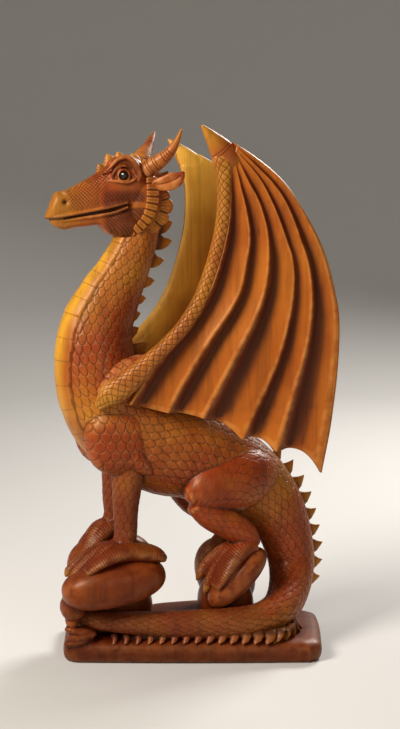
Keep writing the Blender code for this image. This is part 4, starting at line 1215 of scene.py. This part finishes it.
def slab():
    """The slab: rings of a rounded oblong with a slightly wavy edge, drawn in at foot and top."""
    a = np.linspace(0, 2 * math.pi, 480, endpoint=False)
    hx, hy, r = SLAB_LENGTH / 2, SLAB_DEPTH / 2, SLAB_CORNER
    x = np.clip(np.cos(a) * 3, -1, 1) * (hx - r) + r * np.cos(a)
    y = np.clip(np.sin(a) * 3, -1, 1) * (hy - r) + r * np.sin(a)
    wave = 2.0 * np.sin(3 * a + 0.6) + 1.2 * np.sin(7 * a)
    rings = []
    for z, inset in SLAB_EDGE:
        across = (hx - inset + wave * 0.4 * (z > 0)) / hx
        back = (hy - inset + wave * 0.4 * (z > 0)) / hy
        f, s = from_slab(x * across - SLAB_SHIFT, y * back)
        rings.append(np.column_stack((f, s, np.full(len(a), z * SLAB_TOP / SLAB_EDGE[-1][0]))))
    return form(np.vstack(rings + [[(0, 0, 0), (0, 0, SLAB_TOP)]]), ring_faces(len(rings), len(a)))


def ground():
    """The stones under the feet, the folds at the left end and the slab."""
    parts = [lump((88, 30, 76), (50, 25, 21.5), -9, power=2.4),
             lump((80, -22, 82), (43, 26, 30), -4, power=2.2),
             lump((80, -12, 42), (38, 28, 27), 0, power=2.5), lump((-31, 37, 75), (37, 19, 14), -44,
                                                                   power=2.2),
             lump((-26, 14, 44), (27, 24, 32), -6, power=2.3),
             lump((-38, -30, 62), (29, 24, 38), -20, power=2.2)]
    parts.append(stone(-8, 16, 16, (46, 44, 15), 0, 60, 120, 4.0))
    bulge = stone(-116, -54, 54, (12, 15, 13), power=2.2)
    f, _, z = bulge["verts"].T
    bulge["row"] = (f - z + 0.02 * (z - 54) ** 2) / 3.3
    bulge["line"] += 1.4
    knob = stone(-117, -55, 39.5, (6.5, 7.5, 4.4))
    knob["gold"] += 0.5
    parts += [bulge, knob]
    for x, z, tilt in ((-110, 31, 8), (-107, 26, -3), (-111, 20.5, -10)):
        parts.append(with_lines(stone(x, -54, z, (15, 8.5, 3.4), tilt), 2.2, 0.7))
    parts.append(slab())
    for part in parts:
        part["gold"] += 0.2
        # Painted shade: darker towards the foot of the slab.
        part["stain"] += 0.45 * smooth(30, 12, part["verts"][:, 2])
    return parts


base_mesh, base = melted("boulders_and_slab", ground(), GROUND_VOXEL)
finish_skin("boulders_and_slab", base_mesh, base, BASE_IN_PAINTED_SHADE, 0.45)

# %% [markdown]
# ## Fins along the nape, back, rump and tail
# Some forty-six fins of three shapes follow the spine. Repeating a small fin over a list of places is
# just what Geometry Nodes are for: the places carry their own turn and size, the tree puts a fin on each,
# and the result is made real.

# %% The fin
FIN_SIDES = 12
FIN_FOOT = -0.45


def fin_blank(hook, gold, stain):
    """One fin, one unit long, high and thick: a leaf of rings that lean to the tip."""
    high = np.array([FIN_FOOT, 0.0, 0.25, 0.45, 0.65, 0.82, 0.93, 1.0])
    tail_side = np.interp(high, (FIN_FOOT, 0, 0.45, 0.82, 1.0), (-0.5, -0.5, -0.36, -0.08, hook - 0.03))
    head_side = np.interp(high, (FIN_FOOT, 0, 0.3, 0.6, 1.0), (0.5, 0.5, 0.36, hook + 0.1, hook + 0.01))
    body = np.interp(high, (FIN_FOOT, 0.1, 0.7, 1.0), (0.5, 0.46, 0.24, 0.06))
    turn = np.linspace(0, 2 * math.pi, FIN_SIDES, endpoint=False)
    rings = []
    for h, a, b, t in zip(high, tail_side, head_side, body):
        rings.append(np.column_stack(((a + b) / 2 + np.cos(turn) * (b - a) / 2, np.sin(turn) * t,
                                      np.full(FIN_SIDES, h))))
    ends = [(0, 0, FIN_FOOT), (hook - 0.01, 0, 1.02)]
    part = form(np.vstack(rings + [ends]), ring_faces(len(high), FIN_SIDES))
    blank = show("fin_blank", mesh_of("fin_blank", part["verts"] / 1000, part["faces"]))
    store(blank.data, "gold", np.full(len(part["verts"]), gold))
    store(blank.data, "stain", np.full(len(part["verts"]), stain))
    store(blank.data, "hollow", np.interp(part["verts"][:, 2], (0, 0.5, 1), (0.6, 0.1, -0.35)))
    return blank


ROUND_FIN = fin_blank(0.3, 0.4, 0.0)
POINTED_FIN = fin_blank(0.12, 0.4, 0.0)
# The tail's fins, low on the slab, are painted darker and without gold: painted shade.
DARK_FIN = fin_blank(0.45, 0.0, 0.4)
BLANKS = (ROUND_FIN, POINTED_FIN, DARK_FIN)
print("fin shapes", len(BLANKS))


# %% The tree that stands a fin on every place
def row_tree(material):
    """Stands the blank on every point, turned and sized by the point's own values."""
    tree = bpy.data.node_groups.new("row of fins", "GeometryNodeTree")
    for label, kind in (("Places", "Geometry"), ("Blank", "Object"), ("Thickness", "Float"),
                        ("Height", "Float")):
        tree.interface.new_socket(label, in_out="INPUT", socket_type="NodeSocket" + kind)
    tree.interface.new_socket("Fins", in_out="OUTPUT", socket_type="NodeSocketGeometry")
    ins = tree.nodes.new("NodeGroupInput").outputs
    out = tree.nodes.new("NodeGroupOutput").inputs
    info, stand, real, paint = (tree.nodes.new("GeometryNode" + kind) for kind in (
        "ObjectInfo", "InstanceOnPoints", "RealizeInstances", "SetMaterial"))
    aim, size = (tree.nodes.new("GeometryNodeInputNamedAttribute") for _ in range(2))
    for node, label in ((aim, "aim"), (size, "size")):
        node.data_type = "FLOAT_VECTOR"
        node.inputs["Name"].default_value = label
    trim = tree.nodes.new("ShaderNodeCombineXYZ")
    times = tree.nodes.new("ShaderNodeVectorMath")
    times.operation = "MULTIPLY"
    for socket, value in ((info.inputs[0], ins["Blank"]), (stand.inputs["Points"], ins["Places"]),
                          (stand.inputs["Instance"], info.outputs["Geometry"]),
                          (stand.inputs["Rotation"], aim.outputs["Attribute"]), (trim.inputs[0], 1.0),
                          (trim.inputs[1], ins["Thickness"]), (trim.inputs[2], ins["Height"]),
                          (times.inputs[0], size.outputs["Attribute"]),
                          (times.inputs[1], trim.outputs[0]), (stand.inputs["Scale"], times.outputs[0]),
                          (real.inputs[0], stand.outputs[0]),
                          (paint.inputs["Geometry"], real.outputs[0]),
                          (paint.inputs["Material"], material), (out["Fins"], paint.outputs[0])):
        plug(tree, socket, value)
    return tree


FIN_TREE = row_tree(SCALED)
print("tree", FIN_TREE.name, "nodes", len(FIN_TREE.nodes))


# %% Stand a row of fins and make it real
def stand_row(name, blank, places):
    """Makes one piece from a blank and its places: root, along, out, length, height, thickness."""
    points, aims, sizes = [], [], []
    for root, along, out, length, tall, thick in places:
        x = unit(np.asarray(along, float))
        z = np.asarray(out, float)
        z = unit(z - (z @ x) * x)
        y = np.cross(z, x)
        turned = Matrix(np.column_stack([on_slab(v) * 1000 for v in (x, y, z)]).tolist())
        points.append(tuple(on_slab(root)))
        aims.append(tuple(turned.to_euler()))
        sizes.append((length, thick, tall))
    mesh = bpy.data.meshes.new(name)
    mesh.from_pydata(points, [], [])
    store(mesh, "aim", aims, "FLOAT_VECTOR")
    store(mesh, "size", sizes, "FLOAT_VECTOR")
    thing = show(name, mesh)
    modifier = thing.modifiers.new("row", "NODES")
    modifier.node_group = FIN_TREE
    names = {i.name: i.identifier for i in FIN_TREE.interface.items_tree if i.in_out == "INPUT"}
    for label, value in (("Blank", blank), ("Thickness", 1.0), ("Height", 1.0)):
        modifier[names[label]] = value
    made = applied(thing)
    bpy.data.objects.remove(thing)
    return dress(name, made, SCALED)


print("rows can be stood")

# %% Nape and back
NAPE = (((34, 441), (27, 442)), ((34, 425), (24, 421)), ((34, 409), (24, 405)), ((36, 394), (25, 390)),
        ((43, 377), (33, 373)), ((52, 358), (42, 355)), ((60, 341), (50, 339)), ((65, 325), (55, 324)),
        ((67, 309), (56, 310)), ((65, 292), (47, 299)))
BACK = ((48, 0, 252), (20, 0, 249), (-5, 0, 234), (-30, 0, 215), (-64, 0, 193))
BACK_FINS = 8


def beside(row, k):
    """The neighbours of one entry of a row, or the entry itself at an end."""
    return row[max(k - 1, 0)], row[min(k + 1, len(row) - 1)]


places = []
for k, ((f, u), (g, v)) in enumerate(NAPE):
    (before, _), (after, _) = beside(NAPE, k)
    along = (before[0] - after[0], 0, before[1] - after[1])
    places.append(((f, 0, u), along, (g - f, 0, v - u), 15.5, math.hypot(g - f, v - u), 5.0))
back = spline(BACK, BACK_FINS + 2)
for k in range(1, BACK_FINS + 1):
    step = back[k - 1] - back[k + 1]
    places.append((back[k], step, (-step[2] * 0.3 - 2, 0, 10), 13.0, 7.5, 4.4))
stand_row("nape_and_back_fins", ROUND_FIN, places)

# %% Rump
RUMP = ((-79, 181), (-91, 169), (-101, 155), (-108, 140), (-113, 124), (-117, 108), (-120, 92),
        (-120, 76), (-118, 60))
places = []
for k, (f, u) in enumerate(RUMP):
    (f0, u0), (f1, u1) = beside(RUMP, k)
    places.append(((f + 2, 1, u), (f0 - f1, 0, u0 - u1), (u1 - u0, 0, f0 - f1), 17.0, 14.4 - 0.4 * k, 5.4))
stand_row("rump_fins", POINTED_FIN, places)

# %% Tail, round the slab's corner and along its front
TAIL_FINS = 19
CORNER_FINS = 5
places = []
for k in range(TAIL_FINS):
    past = k - CORNER_FINS
    turn = math.radians(min(18 * k, 90))
    x = 96 - 26 * (1 - math.cos(turn)) if past < 0 else 70 - 11.3 * past
    y = -14 - 40 * math.sin(turn) if past < 0 else -55 + 0.12 * past
    size = 13.0 - 0.42 * k
    f, s = from_slab(x, y)
    g, t = from_slab(x + 4 * math.cos(turn) + 2, y - 6 * math.sin(turn) - 2)
    h, w = from_slab(x + 5 * math.sin(turn), y - 5 * math.cos(turn))
    reach = (g - f, t - s, -5.5) if past < 0 else (*from_slab(-5.5, -5), -6)
    places.append(((f, s, 28 - 0.25 * k), (f - h, s - w, -1.5), reach, size * 1.15,
                   max(size * 0.85, 7.5), 4.6))
stand_row("tail_fins", DARK_FIN, places)

for blank in BLANKS:
    bpy.data.objects.remove(blank)

# %% [markdown]
# ## The eyes
# The beads are parts of the measured model and stay where they are. They only get their finish: near
# black glass with a faint warm depth and a hard clear gloss.

# %% The glossy beads
def bead_finish():
    """Near black glass with a hard clear gloss."""
    material, tree, shader = new_material("black bead")
    depth = ranged(tree, noise(tree, own_place(tree), 600.0, 2.0), 0.4, 0.7)
    black = mixed(tree, depth, (0.004, 0.003, 0.003, 1), (0.02, 0.009, 0.005, 1))
    for label, value in (("Base Color", black), ("Roughness", maths(tree, "MULTIPLY_ADD", depth, 0.04,
                                                                    0.04)),
                         ("Specular IOR Level", 0.3), ("Coat Weight", 0.35), ("Coat Roughness", 0.02)):
        plug(tree, shader.inputs[label], value)
    return material


BEAD = bead_finish()
for name in ("left_eye", "right_eye"):
    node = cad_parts[name]
    for slot in node.material_slots:
        slot.material = BEAD
    node.data.polygons.foreach_set("use_smooth", [True] * len(node.data.polygons))
print("beads finished")

# %% [markdown]
# ## Everything rides on the one body
# The carving is one rigid thing, so each piece of skin rides on the root, and together they stand for the
# measured solid, which is hidden.

# %% Ride and replace
for piece in PIECES:
    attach(piece, "root")
    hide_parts("dragon")
print("pieces", len(PIECES))

# %% [markdown]
# ## Floor, light and camera
# A pale floor rises far off into a round wall. One large soft key stands at the upper left front, a
# softer light at the upper right behind draws the pale sheen on the wing's edge and the rump, and a weak
# fill opens the shadows. The camera stands a little above the middle of the carving and looks slightly
# down.

# %% The floor and its far round wall
FLOOR_SIDES = 96
FLOOR_PROFILE = ((0.9, 0.0), (1.5, 0.03), (2.1, 0.16), (2.7, 0.48), (3.2, 1.05), (3.5, 1.9), (3.6, 3.4))
turn = np.linspace(0, 2 * math.pi, FLOOR_SIDES, endpoint=False)
rings = [np.column_stack((r * np.cos(turn), r * np.sin(turn), np.full(FLOOR_SIDES, z))) for r,
         z in FLOOR_PROFILE]
start = np.arange(FLOOR_SIDES)
after = (start + 1) % FLOOR_SIDES
faces = []
for k in range(len(FLOOR_PROFILE) - 1):
    low, high = k * FLOOR_SIDES, (k + 1) * FLOOR_SIDES
    faces += np.column_stack((high + start, high + after, low + after, low + start)).tolist()
middle = np.full(FLOOR_SIDES, len(rings) * FLOOR_SIDES)
faces += np.column_stack((middle, start, after)).tolist()
data = bpy.data.meshes.new("floor")
data.from_pydata(np.vstack(rings + [(0, 0, 0)]).tolist(), [], faces)
data.update()
floor = show("floor", data)
pale, tree, shader = new_material("pale paper")
plug(tree, shader.inputs["Base Color"], (0.62, 0.6, 0.57, 1))
plug(tree, shader.inputs["Roughness"], 0.9)
floor.data.materials.append(pale)
floor.data.polygons.foreach_set("use_smooth", [True] * len(floor.data.polygons))
print("floor faces", len(faces))


# %% Lights and the pale surroundings
def softbox(name, stand, aim, size, power, colour):
    """A square soft light that stands at one place and is aimed at another."""
    data = bpy.data.lights.new(name, "AREA")
    data.shape = "SQUARE"
    data.size = size
    data.energy = power
    data.color = colour
    lamp = show(name, data)
    lamp.location = stand
    lamp.rotation_euler = (Vector(aim) - Vector(stand)).to_track_quat("-Z", "Y").to_euler()


LIGHTS = {"key": ((-0.8, -0.7, 0.95), (0, 0, 0.33), 0.5, 21, (1.0, 0.95, 0.88)),
          "rim": ((0.75, 1.05, 1.15), (0.02, 0, 0.25), 0.6, 26, (1.0, 0.98, 0.96)),
          "fill": ((0.5, -1.7, 0.7), (0, 0, 0.25), 0.9, 4, (1.0, 0.93, 0.86))}
for name, settings in LIGHTS.items():
    softbox(name, *settings)
world = bpy.data.worlds.new("studio")
bpy.context.scene.world = world
world.use_nodes = True
sky = world.node_tree.nodes["Background"].inputs
sky["Color"].default_value = (0.95, 0.92, 0.88, 1)
sky["Strength"].default_value = 0.17
bpy.context.scene.view_settings.view_transform = "Standard"
print("lights", len(LIGHTS))

# %% The camera
PICTURE_HIGH = 729.0
FOCUS = 1526.0
SIDE_SHIFT = 4.0
SENSOR = 36.0
CAMERA_AT = (0.0, -1.45, 0.46)
AIM_DROP = CAMERA_AT[2] - 0.283
AIM_REACH = 1.40
eye = bpy.data.cameras.new("camera")
eye.sensor_fit = "VERTICAL"
eye.sensor_height = SENSOR
eye.lens = FOCUS * SENSOR / PICTURE_HIGH
eye.shift_x = SIDE_SHIFT / PICTURE_HIGH
eye.clip_start = 0.05
camera = show("camera", eye)
camera.location = CAMERA_AT
camera.rotation_euler = (math.pi / 2 - math.atan2(AIM_DROP, AIM_REACH), 0, 0)
bpy.context.scene.camera = camera
print("camera at", tuple(camera.location))
